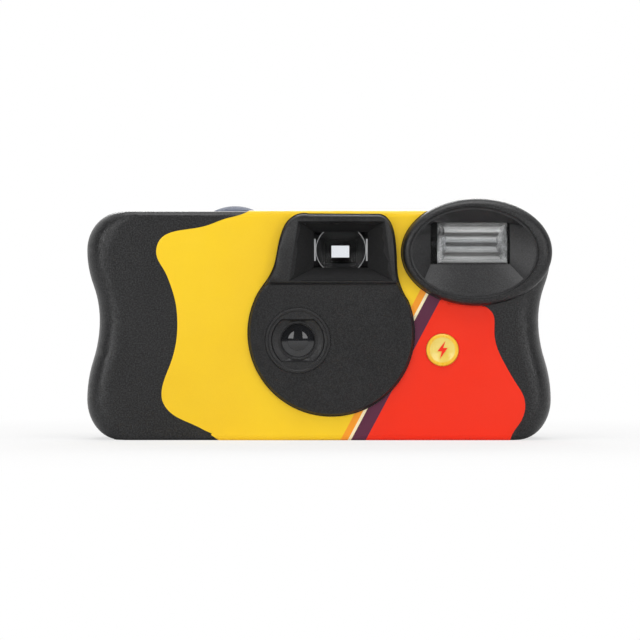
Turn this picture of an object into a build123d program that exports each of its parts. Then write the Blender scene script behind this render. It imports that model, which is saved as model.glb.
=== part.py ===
from build123d import *
import os
from math import cos, pi, radians, sin, sqrt, tan

# A disposable film camera, in millimetres.
# X runs to the right as seen from the front, the front faces -Y and Z is up.
# The origin is the middle of the bottom face.

# Whole body
half_width = 57.5
height = 56.5
depth = 31.0
wall = 1.4
side_round = 6.0
rim_round = 1.4
round_count = 6
waist_depth = 3.1
corner_run = 8.2
top_run = 8.7
low_bulge = 10.0
waist_height = 29.7
high_bulge = 47.0

# Clearances
overrun = 1.0
gap = 0.3
fit = 0.05
seat = 0.1

# Places that follow from the body
front_y = -depth / 2
rear_y = depth / 2
inner_front = front_y + wall
inner_rear = rear_y - wall
roof_z = height - wall

# Raised lens panel, its outline in shares of its radius
panel_x = 3.0
panel_z = 26.5
panel_radius = 20.4
panel_rise = 1.5
hood_rise = 3.5
panel_chamfer = 0.5
panel_corner = 0.8
left_joint_angle = 151.3
right_joint_angle = 22.9
housing_left_shares = (
    (-0.824, 0.559), (-0.740, 0.681), (-0.676, 0.833), (-0.637, 1.034),
    (-0.593, 1.201), (-0.529, 1.328), (-0.441, 1.402), (-0.270, 1.426),
)
housing_right_shares = (
    (0.529, 1.422), (0.672, 1.373), (0.730, 1.279), (0.770, 1.098),
    (0.784, 0.912), (0.799, 0.681), (0.838, 0.544),
)
panel_front = front_y - panel_rise
hood_front = front_y - hood_rise

# Finder, its hood mouth in shares of the half window
finder_x = 5.4
finder_z = 47.0
finder_half_width = 6.75
finder_half_height = 4.5
hood_left_share = 1.54
hood_right_share = 1.57
hood_foot_left_share = 1.90
hood_foot_right_share = 1.90
hood_top_share = 1.48
hood_foot_share = 1.77
hood_base = 38.4
hood_lip = 1.2
finder_lens_radius = 6.2
finder_lens_thick = 2.0
finder_lens_half_height = 4.3
finder_wall = 1.0
finder_front_gap = 0.6
finder_mask_thick = 0.8
finder_mask_width = 4.5
finder_mask_height = 3.0
eyepiece_width = 8.0
eyepiece_height = 6.0
eyepiece_thick = 1.6
eyepiece_frame = 1.4
eyepiece_rise = 1.0

# Flash hump, dish and window
bezel_x = 38.9
bezel_z = 46.4
bezel_half_width = 18.5
bezel_half_height = 13.2
bezel_rise = 3.0
bezel_round = 0.8
bezel_straight = 6.0
bezel_tail = 13.0
bezel_tail_half_width = 17.0
bezel_tail_half_height = 9.9
dish_x = 38.1
dish_z = 46.2
dish_half_width = 15.9
dish_half_height = 11.35
dish_slope = 1.2
window_x = 37.3
window_z = 48.6
window_width = 19.3
window_height = 10.1
window_plate = 0.9
window_flange = 0.7
window_flange_thick = 0.5
bezel_front = front_y - bezel_rise

# Lens
lens_x = -5.2
lens_z = 24.6
lens_hole_radius = 8.0
lens_radius = 4.6
lens_seen_radius = 4.1
lens_thick = 2.2
lens_edge = 1.0
retainer_ring_radius = 5.95
retainer_rise = 0.4
retainer_groove = 0.5
retainer_groove_width = 0.5
retainer_flat = 5.1
aperture_radius = 1.5

# Buttons
button_x = -20.9
button_y = -6.5
button_radius = 5.4
button_rise = 1.5
button_dome = 1.3
button_travel = 1.2
button_flange = 0.7
button_flange_thick = 0.8
button_stem_radius = 1.2
flash_button_x = 30.4
flash_button_z = 22.3
flash_button_radius = 4.0
flash_button_rise = 0.8
flash_button_dome = 0.35
flash_button_travel = 0.5
flash_button_flange = 0.8
flash_button_flange_thick = 0.6
flash_button_stem_radius = 1.2

# Labels, the front one's edges in shares of the half width and the height
label_thick = 0.2
label_clear = 0.25
label_back = 0.6
label_left_shares = (
    (-0.278, 1.02), (-0.343, 0.982), (-0.407, 0.965), (-0.463, 0.943), (-0.527, 0.926),
    (-0.612, 0.913), (-0.677, 0.881), (-0.697, 0.812), (-0.661, 0.738), (-0.637, 0.680),
    (-0.616, 0.609), (-0.607, 0.527), (-0.609, 0.455), (-0.637, 0.333), (-0.673, 0.225),
    (-0.673, 0.181), (-0.657, 0.145), (-0.626, 0.113), (-0.570, 0.083), (-0.497, 0.048),
    (-0.430, 0.0), (-0.400, -0.02),
)
label_right_shares = (
    (0.820, -0.02), (0.838, 0.044), (0.863, 0.080), (0.882, 0.131), (0.878, 0.188),
    (0.842, 0.253), (0.800, 0.326), (0.763, 0.405), (0.751, 0.478), (0.746, 0.550),
    (0.704, 0.588), (0.560, 0.580),
)
label_top_right_share = 0.56
rear_label_half_width = 30.0
rear_label_low = 5.0
rear_label_high = 40.0
rear_label_round = 3.0

# Shutter, in the order that the light passes
shutter_plate_clear = 0.9
shutter_plate_thick = 1.0
shutter_plate_half_width = 9.8
shutter_plate_low = 17.5
shutter_plate_high = 41.0
blade_thick = 0.3
blade_pivot_x = -8.5
blade_pivot_z = 35.5
blade_pin_radius = 0.8
blade_disc_radius = 2.6
blade_arm_width = 1.6
blade_tab_high = 48.0
blade_hub_radius = 1.9
blade_spring_radius = 0.6
blade_spring_z = 47.3
blade_spring_end = 8.4
blade_spring_post_radius = 0.6
plate_front = inner_front + shutter_plate_clear
plate_rear = plate_front + shutter_plate_thick
blade_front = plate_rear + gap
blade_rear = blade_front + blade_thick
frame_front = blade_rear + gap

# Film and its path
film_y = 10.0
film_thick = 0.15
film_low = 7.2
film_height = 35.0
film_high = film_low + film_height
gate_width = 36.0
gate_height = 24.0
gate_thick = 1.5
gate_clear = 0.1
gate_high = 41.4
cone_mouth = 9.0
frame_wall = 1.2
gate_rear = film_y - gate_clear
gate_front = gate_rear - gate_thick

# Cartridge and its chamber
cartridge_x = -38.0
cartridge_y = 1.2
cartridge_radius = 12.5
cartridge_low = 2.6
cartridge_length = 44.0
cartridge_skin = 0.4
cartridge_cap_height = 2.2
cartridge_cap_thick = 0.5
cartridge_mouth_height = 36.0
cartridge_mouth_gap = 0.5
cartridge_spool_radius = 4.0
cartridge_spool_bore = 3.2
chamber_wall = 0.9
chamber_roof_thick = 1.2
cartridge_high = cartridge_low + cartridge_length
chamber_inner = cartridge_radius + gap
chamber_outer = chamber_inner + chamber_wall
chamber_roof = cartridge_high + 2 * gap
spool_top = cartridge_high + gap

# Thumbwheel
thumb_radius = 15.0
thumb_rib_count = 60
thumb_rib_depth = 0.5
thumb_height = 3.6
thumb_key_radius = 2.9
thumb_key_drop = 3.0
thumb_low = chamber_roof + chamber_roof_thick + gap
thumb_high = thumb_low + thumb_height
thumb_slot_half_width = 9.0

# Supply side
supply_x = 41.5
supply_y = 1.8
supply_inner = 9.2
supply_wall = 0.9
supply_floor_thick = 1.0
supply_roof_thick = 0.7
supply_spool_radius = 3.0
supply_spool_bore = 2.0
supply_outer = supply_inner + supply_wall
supply_roof = film_high + gap
roll_radius = film_y - supply_y - gap

# Deck that carries the counting and release parts
deck_low = 43.2
deck_thick = 1.0
deck_top = deck_low + deck_thick
sprocket_x = -16.5
sprocket_y = 3.95
sprocket_z = 40.2
sprocket_height = 2.4
sprocket_body_radius = 4.6
sprocket_tooth_count = 8
sprocket_tooth_width = 1.2
sprocket_tooth_tip = film_y - sprocket_y - gap
sprocket_shaft_radius = 1.5
sprocket_neck_radius = 1.2
sprocket_shaft_top = 52.4
cam_radius = 3.6
cam_low = 44.5
cam_height = 2.5
cam_notch = 1.4
counter_x = -9.5
counter_y = 6.5
counter_disc_radius = 6.0
counter_disc_low = 53.0
counter_disc_thick = 1.0
counter_gear_radius = 4.5
counter_tooth_count = 40
counter_tooth_depth = 0.35
counter_gear_low = 50.4
counter_gear_thick = 1.0
counter_hub_radius = 2.2
counter_pin_radius = 1.0
counter_base_radius = 2.0
drive_disc_radius = 2.0
drive_tooth_reach = 2.7
drive_tooth_width = 0.6
counter_window_radius = 2.2
counter_window_offset = 3.6
counter_window_rise = 0.2
counter_window_flange = 0.8
counter_window_flange_thick = 0.5

# Release levers
lever_y = -1.0
lever_z = 46.6
lever_pin_radius = 0.7
lever_hub_radius = 1.5
lever_thick = 1.0
lever_left = -22.6
lever_width = 3.4
lever_front = -8.5
lever_rear = 2.6
lever_rear_width = 1.5
lever_ear_thick = 0.7
lever_coil_radius = 1.3
lever_coil_length = 1.0
striker_x = -10.4
striker_y = -3.0
striker_pin_radius = 1.0
striker_hub_radius = 2.1
striker_low = 44.5
striker_thick = 1.5
striker_arm_width = 1.6
striker_front = -12.4
striker_coil_radius = 1.8
striker_coil_height = 1.7

# Battery
battery_x = 2.05
battery_y = -6.4
battery_radius = 7.1
battery_length = 49.5
battery_nub = 1.0
battery_nub_radius = 2.6
contact_thick = 0.5
contact_width = 8.0
contact_height = 11.0
battery_wall = 1.0
battery_web_width = 2.0
battery_web_height = 10.0
battery_z = wall + gap + battery_radius

# Flash unit
board_left = 14.0
board_right = 50.0
board_low = 17.5
board_high = 42.5
board_thick = 1.0
board_front = frame_front - gap
board_rear = board_front + board_thick
board_post_radius = 1.5
board_arm_radius = 1.0
board_arm_x = 15.5
board_arm_z = 40.2
board_post_z = 24.0
capacitor_x = 21.0
capacitor_radius = 6.0
capacitor_low = 17.0
capacitor_height = 21.5
capacitor_bead = 0.3
capacitor_y = gate_front - gap - capacitor_radius
transformer_left = 14.6
transformer_width = 6.0
transformer_depth = 5.6
transformer_low = 24.0
transformer_height = 10.0
transformer_flange = 1.0
transformer_waist = 0.7
coil_x = 27.5
coil_low = 33.5
coil_height = 7.5
coil_radius = 2.2
transistor_left = 23.5
transistor_low = 20.0
transistor_width = 4.6
transistor_height = 4.8
transistor_depth = 2.6
resistor_count = 3
resistor_x = 31.0
resistor_pitch = 3.2
resistor_low = 27.0
resistor_length = 6.4
resistor_radius = 0.9
lamp_x = 18.5
lamp_z = 47.0
lamp_radius = 1.3
lamp_front = -9.0
lamp_length = 4.0
lamp_lead_radius = 0.25
pipe_radius = 1.5
pipe_rise = 0.3
dome_radius = 3.0
dome_height = 0.4
sync_left = 2.4
sync_pitch = 2.2
sync_width = 1.1
sync_low = 30.0
sync_length = 8.0
sync_thick = 0.2
reflector_wall = 0.5
reflector_depth = 6.5
reflector_back_height = 4.0
reflector_back_share = 0.93
tube_radius = 1.2
tube_reach = 1.2
tube_back = 3.2
tube_end_length = 1.5
tube_end_rim = 0.15
reflector_front = inner_front + window_flange_thick + seat
reflector_width = window_width - 2 * seat
reflector_height = window_height - 2 * seat

# Rear cover details and film door
pad_rib_count = 5
pad_rib_width = 1.4
pad_left = -24.0
pad_right = 32.0
pad_rail_height = 1.4
door_half_size = 12.7
door_clear = 0.15


# Helpers that turn sketches and ranges into solids
def across(sketch, front, rear):
    """Solid of a front view sketch that runs between two depths."""
    return extrude(Plane.XZ.offset(-rear) * sketch, rear - front)


def upright(sketch, low, high):
    """Solid of a plan view sketch that runs between two heights."""
    return extrude(Plane.XY.offset(low) * sketch, high - low)


def sideways(sketch, left, right):
    """Solid of a side view sketch, drawn in Y and Z, between two places along X."""
    return extrude(Plane.YZ.offset(left) * sketch, right - left)


def block(x_range, y_range, z_range):
    """Box between the low and high ends of three ranges."""
    lows = (x_range[0], y_range[0], z_range[0])
    highs = (x_range[1], y_range[1], z_range[1])
    sizes = [high - low for low, high in zip(lows, highs)]
    middle = [(high + low) / 2 for low, high in zip(lows, highs)]
    return Pos(*middle) * Box(*sizes)


def around(middle, size):
    """Range of a size about its middle."""
    return (middle - size / 2, middle + size / 2)


def post(x, y, radius, low, high):
    """Upright cylinder."""
    return upright(Pos(x, y) * Circle(radius), low, high)


def peg(x, z, radius, front, rear):
    """Cylinder along the depth."""
    return across(Pos(x, z) * Circle(radius), front, rear)


def rod(y, z, radius, left, right):
    """Cylinder along the width."""
    return sideways(Pos(y, z) * Circle(radius), left, right)


def polygon(points):
    """Face of a closed polygon."""
    return make_face(Polyline(*points, close=True))


def save(node, *solids):
    """Write the solids of one node."""
    shape = solids[0] if len(solids) == 1 else Compound(children=list(solids))
    export_step(shape, os.path.join("parts", node + ".step"))


# Body outline
def s_curve(start, end):
    """Two equal arcs that leave one point and reach the other upright."""
    middle = ((start[0] + end[0]) / 2, (start[1] + end[1]) / 2)
    rise = middle[1] - start[1]
    run = middle[0] - start[0]
    radius = (rise * rise + run * run) / (2 * run)
    return [RadiusArc(start, middle, radius), RadiusArc(middle, end, -radius)]


def body_outline(side, rim):
    """Front view of the body, drawn in at its ends by side and at its top and bottom by rim."""
    reach = half_width - side
    foot = reach - corner_run
    head = reach - top_run
    neck = reach - waist_depth
    top = height - rim
    right = [EllipticalCenterArc((foot, low_bulge), corner_run, low_bulge - rim, start_angle=270, arc_size=90)]
    right += s_curve((reach, low_bulge), (neck, waist_height))
    right += s_curve((neck, waist_height), (reach, high_bulge))
    right += [EllipticalCenterArc((head, high_bulge), top_run, top - high_bulge, start_angle=0, arc_size=90)]
    left = [edge.mirror(Plane.YZ) for edge in right]
    ends = [Line((-foot, rim), (foot, rim)), Line((-head, top), (head, top))]
    return make_face(right + left + ends)


def round_inset(radius, depth_in):
    """How far a rounded edge draws in at a depth behind its front."""
    return radius - sqrt(radius * radius - max(radius - depth_in, 0) ** 2)


def body_front_half(grow, rim_edge):
    """Front half of the body, grown outwards by grow, with its rim rounded by rim_edge."""
    side_edge = side_round + grow
    front = front_y - grow
    sections = []
    for step in range(round_count + 1):
        depth_in = side_edge * (1 - cos(pi / 2 * step / round_count))
        side = round_inset(side_edge, depth_in) - grow
        rim = round_inset(rim_edge, depth_in) - grow
        sections.append(Plane.XZ.offset(-front - depth_in) * body_outline(side, rim))
    return loft(sections, ruled=True) + across(body_outline(-grow, -grow), front + side_edge, 0)


# Raised lens panel
def panel_point(share, grow):
    """Front view point that a pair of shares of the panel radius gives, grown outwards."""
    reach = panel_radius + grow
    return (panel_x + share[0] * reach, panel_z + share[1] * reach)


def joint_point(angle, grow):
    """Front view point of the panel circle at an angle."""
    return panel_point((cos(radians(angle)), sin(radians(angle))), grow)


def panel_outline(grow):
    """Keyhole face, a circle round the lens and a housing above it, grown outwards."""
    left = [joint_point(left_joint_angle, grow)] + [panel_point(share, grow) for share in housing_left_shares]
    right = [panel_point(share, grow) for share in housing_right_shares] + [joint_point(right_joint_angle, grow)]
    bowl = ThreePointArc(right[-1], joint_point(270, grow), left[0])
    outline = make_face([Spline(*left), Line(left[-1], right[0]), Spline(*right), bowl])
    return fillet(outline.vertices(), panel_corner)


def hood_mouth():
    """Trapezoid where the finder hood opens."""
    top = finder_z + finder_half_height * hood_top_share
    foot = finder_z - finder_half_height * hood_foot_share
    return polygon([
        (finder_x - finder_half_width * hood_left_share, top),
        (finder_x + finder_half_width * hood_right_share, top),
        (finder_x + finder_half_width * hood_foot_right_share, foot),
        (finder_x - finder_half_width * hood_foot_left_share, foot),
    ])


def finder_rectangle(margin):
    """Inner finder window with a margin on every side."""
    return Pos(finder_x, finder_z) * Rectangle(2 * (finder_half_width + margin), 2 * (finder_half_height + margin))


def ellipse_at(depth_y, x, z, half_wide, half_high):
    """Upright ellipse at a depth."""
    return Plane.XZ.offset(-depth_y) * (Pos(x, z) * Ellipse(half_wide, half_high))


def bezel(draw_in):
    """Flash hump, drawn in on every side by draw_in, that fades into the top towards the rear."""
    front = bezel_front + draw_in
    full = (bezel_half_width - draw_in, bezel_half_height - draw_in)
    lip = (full[0] - bezel_round, full[1] - bezel_round)
    tail = (bezel_tail_half_width - draw_in, bezel_tail_half_height - draw_in)
    shoulder_y = front + bezel_round
    straight_y = bezel_front + bezel_straight
    tail_y = bezel_front + bezel_straight + bezel_tail - draw_in
    rounded = loft([ellipse_at(front, bezel_x, bezel_z, *lip), ellipse_at(shoulder_y, bezel_x, bezel_z, *full)])
    barrel = across(Pos(bezel_x, bezel_z) * Ellipse(*full), shoulder_y, straight_y)
    fading = loft([ellipse_at(straight_y, bezel_x, bezel_z, *full), ellipse_at(tail_y, bezel_x, bezel_z, *tail)])
    return rounded + barrel + fading


def window_face(margin):
    """Flash window rectangle with a margin on every side."""
    return Pos(window_x, window_z) * Rectangle(window_width + 2 * margin, window_height + 2 * margin)


def build_front_cover():
    """Front shell with its lens panel, finder hood and flash hump."""
    shell = body_front_half(0, rim_round) - body_front_half(-wall, 0)
    panel = across(panel_outline(0), panel_front, inner_front)
    panel = chamfer(panel.faces().sort_by(Axis.Y)[0].edges(), panel_chamfer)
    housing = panel_outline(0) & (Pos(panel_x, hood_base + panel_radius) * Rectangle(2 * panel_radius, 2 * panel_radius))
    housing = fillet(housing.vertices().sort_by(Axis.Y)[:2], panel_corner)
    hood = across(housing, hood_front, panel_front + panel_chamfer)
    hood = chamfer(hood.faces().sort_by(Axis.Y)[0].edges(), panel_chamfer)
    hump = bezel(0) & across(body_outline(-overrun, -bezel_half_height), bezel_front - overrun, 0)
    cover = shell + panel + hood + (hump - body_front_half(-wall, 0))
    hump_hollow = bezel(wall) & across(Rectangle(4 * half_width, 4 * height), inner_front, 0)
    cover -= hump_hollow
    cover -= peg(lens_x, lens_z, lens_hole_radius + seat, panel_front - overrun, inner_front + overrun)
    throat = loft([
        Plane.XZ.offset(-hood_front + overrun) * hood_mouth(),
        Plane.XZ.offset(-inner_front) * finder_rectangle(0),
    ])
    cover -= throat + across(finder_rectangle(0), inner_front - wall, inner_front + overrun)
    dish = loft([
        ellipse_at(bezel_front, dish_x, dish_z, dish_half_width, dish_half_height),
        ellipse_at(inner_front - wall / 2, window_x, window_z - dish_slope, dish_half_width - 2 * dish_slope,
                   dish_half_height - 2 * dish_slope),
    ])
    cover -= dish
    cover -= across(window_face(seat), bezel_front, inner_front + overrun)
    cover -= peg(flash_button_x, flash_button_z, flash_button_radius + seat, front_y - overrun, inner_front + overrun)
    cover -= post(button_x, button_y, button_radius + seat, roof_z - overrun, height + overrun)
    return cover


def build_rear_cover():
    """Rear shell with its openings, eyepiece frame and film pressure ribs."""
    cover = mirror(body_front_half(0, rim_round) - body_front_half(-wall, 0), Plane.XZ)
    frame_size = (eyepiece_width + 2 * eyepiece_frame, eyepiece_height + 2 * eyepiece_frame)
    cover += across(Pos(finder_x, finder_z) * RectangleRounded(*frame_size, eyepiece_frame), inner_rear,
                    rear_y + eyepiece_rise)
    rib_front = film_y + film_thick + gap
    rail_span = (pad_left, pad_right)
    rail_low = lens_z - gate_height / 2 - pad_rail_height - frame_wall
    rail_high = lens_z + gate_height / 2 + frame_wall
    for rail_z in (rail_low, rail_high):
        cover += block(rail_span, (rib_front, inner_rear), (rail_z, rail_z + pad_rail_height))
    pitch = (pad_right - pad_left - pad_rib_width) / (pad_rib_count - 1)
    for rib in range(pad_rib_count):
        left = pad_left + rib * pitch
        cover += block((left, left + pad_rib_width), (rib_front, inner_rear), (rail_low, rail_high + pad_rail_height))
    eyepiece_hole = Pos(finder_x, finder_z) * Rectangle(eyepiece_width + 2 * seat, eyepiece_height + 2 * seat)
    cover -= across(eyepiece_hole, inner_rear - overrun, rear_y + eyepiece_rise + overrun)
    cover -= peg(lamp_x, lamp_z, pipe_radius + seat, inner_rear - overrun, rear_y + overrun)
    slot = block(around(cartridge_x, 2 * thumb_slot_half_width), (inner_rear - overrun, rear_y + overrun),
                 (thumb_low - gap, thumb_high + gap))
    cover -= slot
    window_y = counter_y + counter_window_offset
    cover -= post(counter_x, window_y, counter_window_radius + seat, roof_z - overrun, height + overrun)
    return cover


def door_block(margin):
    """Square block through the floor under the cartridge, with a margin on every side."""
    size = 2 * (door_half_size + margin)
    return block(around(cartridge_x, size), around(cartridge_y, size), (-margin, wall + margin))


def build_film_door():
    """Floor panel under the cartridge with its hinge edge towards the lens."""
    panel = door_block(0) & across(body_outline(0, 0), front_y, rear_y)
    return panel


def label_points(shares):
    """Front view points for shares of the half width and the height."""
    return [(share[0] * half_width, share[1] * height) for share in shares]


def front_label_face():
    """Die cut outline of the front label."""
    left = label_points(label_left_shares)
    right = label_points(label_right_shares)
    top_right = (label_top_right_share * half_width, left[0][1])
    face = make_face([
        Spline(*left), Line(left[-1], right[0]), Spline(*right), Line(right[-1], top_right),
        Line(top_right, left[0]),
    ])
    face -= Pos(bezel_x, bezel_z) * Ellipse(bezel_half_width + label_clear, bezel_half_height + label_clear)
    face -= panel_outline(label_clear)
    face -= Pos(flash_button_x, flash_button_z) * Circle(flash_button_radius + seat + label_clear)
    return face


def build_front_label():
    """Thin label over the front that wraps over the top and under the floor."""
    blank = across(front_label_face(), front_y - overrun, -label_back)
    label = blank & body_front_half(label_thick, rim_round + label_thick)
    label -= body_front_half(0, rim_round)
    label -= bezel(-label_clear)
    label -= block((-half_width, half_width), (front_y - overrun, 0), (-overrun, 0))
    return label - post(button_x, button_y, button_radius + seat + label_clear, roof_z, height + overrun)


def build_rear_label():
    """Thin label on the flat of the rear cover."""
    middle = (rear_label_high + rear_label_low) / 2
    face = Pos(0, middle) * RectangleRounded(2 * rear_label_half_width, rear_label_high - rear_label_low,
                                             rear_label_round)
    return across(face, rear_y, rear_y + label_thick)


def capped_disc(radius, rise):
    """Dome on the XY plane with a flat foot of the radius and the rise at its middle."""
    ball = (radius * radius + rise * rise) / (2 * rise)
    return (Pos(0, 0, rise - ball) * Sphere(ball)) & Pos(0, 0, rise / 2) * Box(2 * ball, 2 * ball, rise)


def build_shutter_button():
    """Domed release button with its flange and stem."""
    crown = height + button_rise - button_dome
    button = post(button_x, button_y, button_radius, roof_z - gap, crown)
    button += Pos(button_x, button_y, crown) * capped_disc(button_radius, button_dome)
    flange_top = roof_z - gap
    button += post(button_x, button_y, button_radius + button_flange, flange_top - button_flange_thick, flange_top)
    stem_low = lever_z + lever_thick + gap
    return button + post(button_x, button_y, button_stem_radius, stem_low, flange_top)


def build_flash_button():
    """Round flash switch button with its flange and stem."""
    crown = front_y - flash_button_rise + flash_button_dome
    button = peg(flash_button_x, flash_button_z, flash_button_radius, crown, inner_front + gap)
    cap = Plane((flash_button_x, crown, flash_button_z), z_dir=(0, -1, 0))
    button += cap * capped_disc(flash_button_radius, flash_button_dome)
    flange_rear = inner_front + gap + flash_button_flange_thick
    button += peg(flash_button_x, flash_button_z, flash_button_radius + flash_button_flange, inner_front + gap,
                  flange_rear)
    stem_rear = board_front - dome_height - gap - flash_button_travel
    return button + peg(flash_button_x, flash_button_z, flash_button_stem_radius, inner_front + gap, stem_rear)


def build_retainer():
    """Stepped ring that holds the lens in the panel."""
    front = panel_front - retainer_rise
    step = front + 2 * retainer_rise
    floor = step + lens_edge
    lip_rear = plate_front - lens_thick + lens_edge - 2 * retainer_groove / 5
    ring = peg(lens_x, lens_z, lens_hole_radius, front, plate_front)
    mouth = Pos(lens_x, lens_z) * Circle(retainer_ring_radius)
    ring -= loft([
        Plane.XZ.offset(-front) * (Pos(lens_x, lens_z) * Circle(retainer_ring_radius + retainer_groove)),
        Plane.XZ.offset(-step) * mouth,
    ])
    flats = Pos(lens_x, lens_z) * Rectangle(2 * retainer_ring_radius, 2 * retainer_flat)
    ring -= across(mouth & flats, step, floor)
    ring -= loft([
        Plane.XZ.offset(-floor) * (Pos(lens_x, lens_z) * Circle(lens_seen_radius + retainer_groove)),
        Plane.XZ.offset(-lip_rear) * (Pos(lens_x, lens_z) * Circle(lens_seen_radius)),
    ])
    groove_outer = lens_hole_radius - retainer_groove_width
    ring -= peg(lens_x, lens_z, groove_outer, front, front + retainer_groove) - peg(
        lens_x, lens_z, groove_outer - retainer_groove_width, front, front + retainer_groove)
    return ring - peg(lens_x, lens_z, lens_radius + seat, lip_rear, plate_front)


def build_taking_lens():
    """Plastic lens, round in front and flat behind."""
    sag = lens_thick - lens_edge
    ball = (lens_radius * lens_radius + sag * sag) / (2 * sag)
    blank = peg(lens_x, lens_z, lens_radius, plate_front - lens_thick, plate_front)
    return blank & Pos(lens_x, plate_front - lens_thick + ball, lens_z) * Sphere(ball)


def build_shutter_plate():
    """Plate behind the lens that carries its seat and covers the blade."""
    size_x = (lens_x - shutter_plate_half_width, lens_x + shutter_plate_half_width)
    plate = block(size_x, (plate_front, plate_rear), (shutter_plate_low, shutter_plate_high))
    return plate - peg(lens_x, lens_z, 2 * aperture_radius, plate_front - overrun, plate_rear + overrun)


def build_shutter_blade():
    """Thin blade with its disc over the aperture, its pivot and the tab that the striker pushes."""
    pivot = (blade_pivot_x, blade_pivot_z)
    arm = make_hull(
        (Pos(*pivot) * Circle(blade_arm_width / 2)).edges() + (Pos(lens_x, lens_z) * Circle(blade_arm_width / 2)).edges()
    )
    tab = Pos(blade_pivot_x, (blade_pivot_z + blade_tab_high) / 2) * Rectangle(
        blade_arm_width, blade_tab_high - blade_pivot_z)
    face = Pos(*pivot) * Circle(blade_hub_radius) + Pos(lens_x, lens_z) * Circle(blade_disc_radius) + arm + tab
    face -= Pos(*pivot) * Circle(blade_pin_radius + fit)
    return across(face, blade_front, blade_rear)


def build_blade_spring():
    """Return coil of the blade, drawn as a sleeve between its post and the tab."""
    coil_y = frame_front + blade_spring_radius + seat
    left = blade_pivot_x - blade_spring_end
    return rod(coil_y, blade_spring_z, blade_spring_radius, left, blade_pivot_x - blade_arm_width / 2)


def gate_rectangle(margin):
    """Picture gate with a margin on every side."""
    return Pos(lens_x, lens_z) * Rectangle(gate_width + 2 * margin, gate_height + 2 * margin)


def cone_mouth_face(margin):
    """Front opening of the light cone with a margin on every side."""
    return Pos(lens_x, lens_z) * Rectangle(cone_mouth + 2 * margin, cone_mouth + 2 * margin)


def chamber(x, y, inner, outer, top, roof_thick):
    """Upright round chamber with a roof, open below and towards the film."""
    behind_film = block((x - outer, x + outer), (gate_rear, gate_rear + outer), (0, height))
    return post(x, y, outer, wall, top + roof_thick) - post(x, y, inner, wall - overrun, top) - behind_film


def light_box():
    """Tapered dark box from the shutter to the picture gate, with its front wall."""
    outer = loft([
        Plane.XZ.offset(-frame_front) * cone_mouth_face(frame_wall),
        Plane.XZ.offset(-gate_front) * gate_rectangle(frame_wall),
    ])
    right = finder_x + finder_half_width + finder_wall
    front_wall = block((lens_x - shutter_plate_half_width, right), (frame_front, frame_front + frame_wall),
                       (shutter_plate_low, gate_high))
    return outer + front_wall


def light_box_hollow():
    """Space that the light crosses, from the aperture to the film."""
    space = loft([
        Plane.XZ.offset(-frame_front - frame_wall) * cone_mouth_face(0),
        Plane.XZ.offset(-gate_front) * gate_rectangle(0),
    ])
    space += across(gate_rectangle(0), gate_front, film_y)
    return space + peg(lens_x, lens_z, aperture_radius, frame_front - overrun, gate_front)


def finder_left():
    """Left side of the finder tunnel."""
    return finder_x - finder_half_width - finder_wall


def lever_ears():
    """Pin of the metering lever with the two ears that carry it."""
    hub_right = lever_left + lever_width
    right_ear = hub_right + 2 * gap + lever_coil_length
    ears = Part() + rod(lever_y, lever_z, lever_pin_radius, lever_left - gap, right_ear)
    for left in (lever_left - gap - lever_ear_thick, right_ear):
        ears += block((left, left + lever_ear_thick), around(lever_y, 2 * lever_thick),
                      (deck_low, lever_z + lever_thick))
    return ears


def battery_walls():
    """End walls of the battery bay and the web that ties the far one to the supply chamber."""
    span_y = around(battery_y, contact_height)
    left = battery_x - battery_length / 2 - contact_thick
    right = battery_x + battery_length / 2 + battery_nub + contact_thick
    top = battery_z + battery_radius - battery_nub
    walls = block((left - battery_wall, left), span_y, (wall, top))
    walls += block((right, right + battery_wall), span_y, (wall, top))
    web_y = (span_y[1] - battery_web_width, span_y[1])
    walls += block((right, supply_x - supply_inner), web_y, (wall, wall + battery_web_height))
    web_left = (cartridge_x + chamber_inner - overrun, left)
    return walls + block(web_left, web_y, (wall, wall + battery_web_height))


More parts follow.
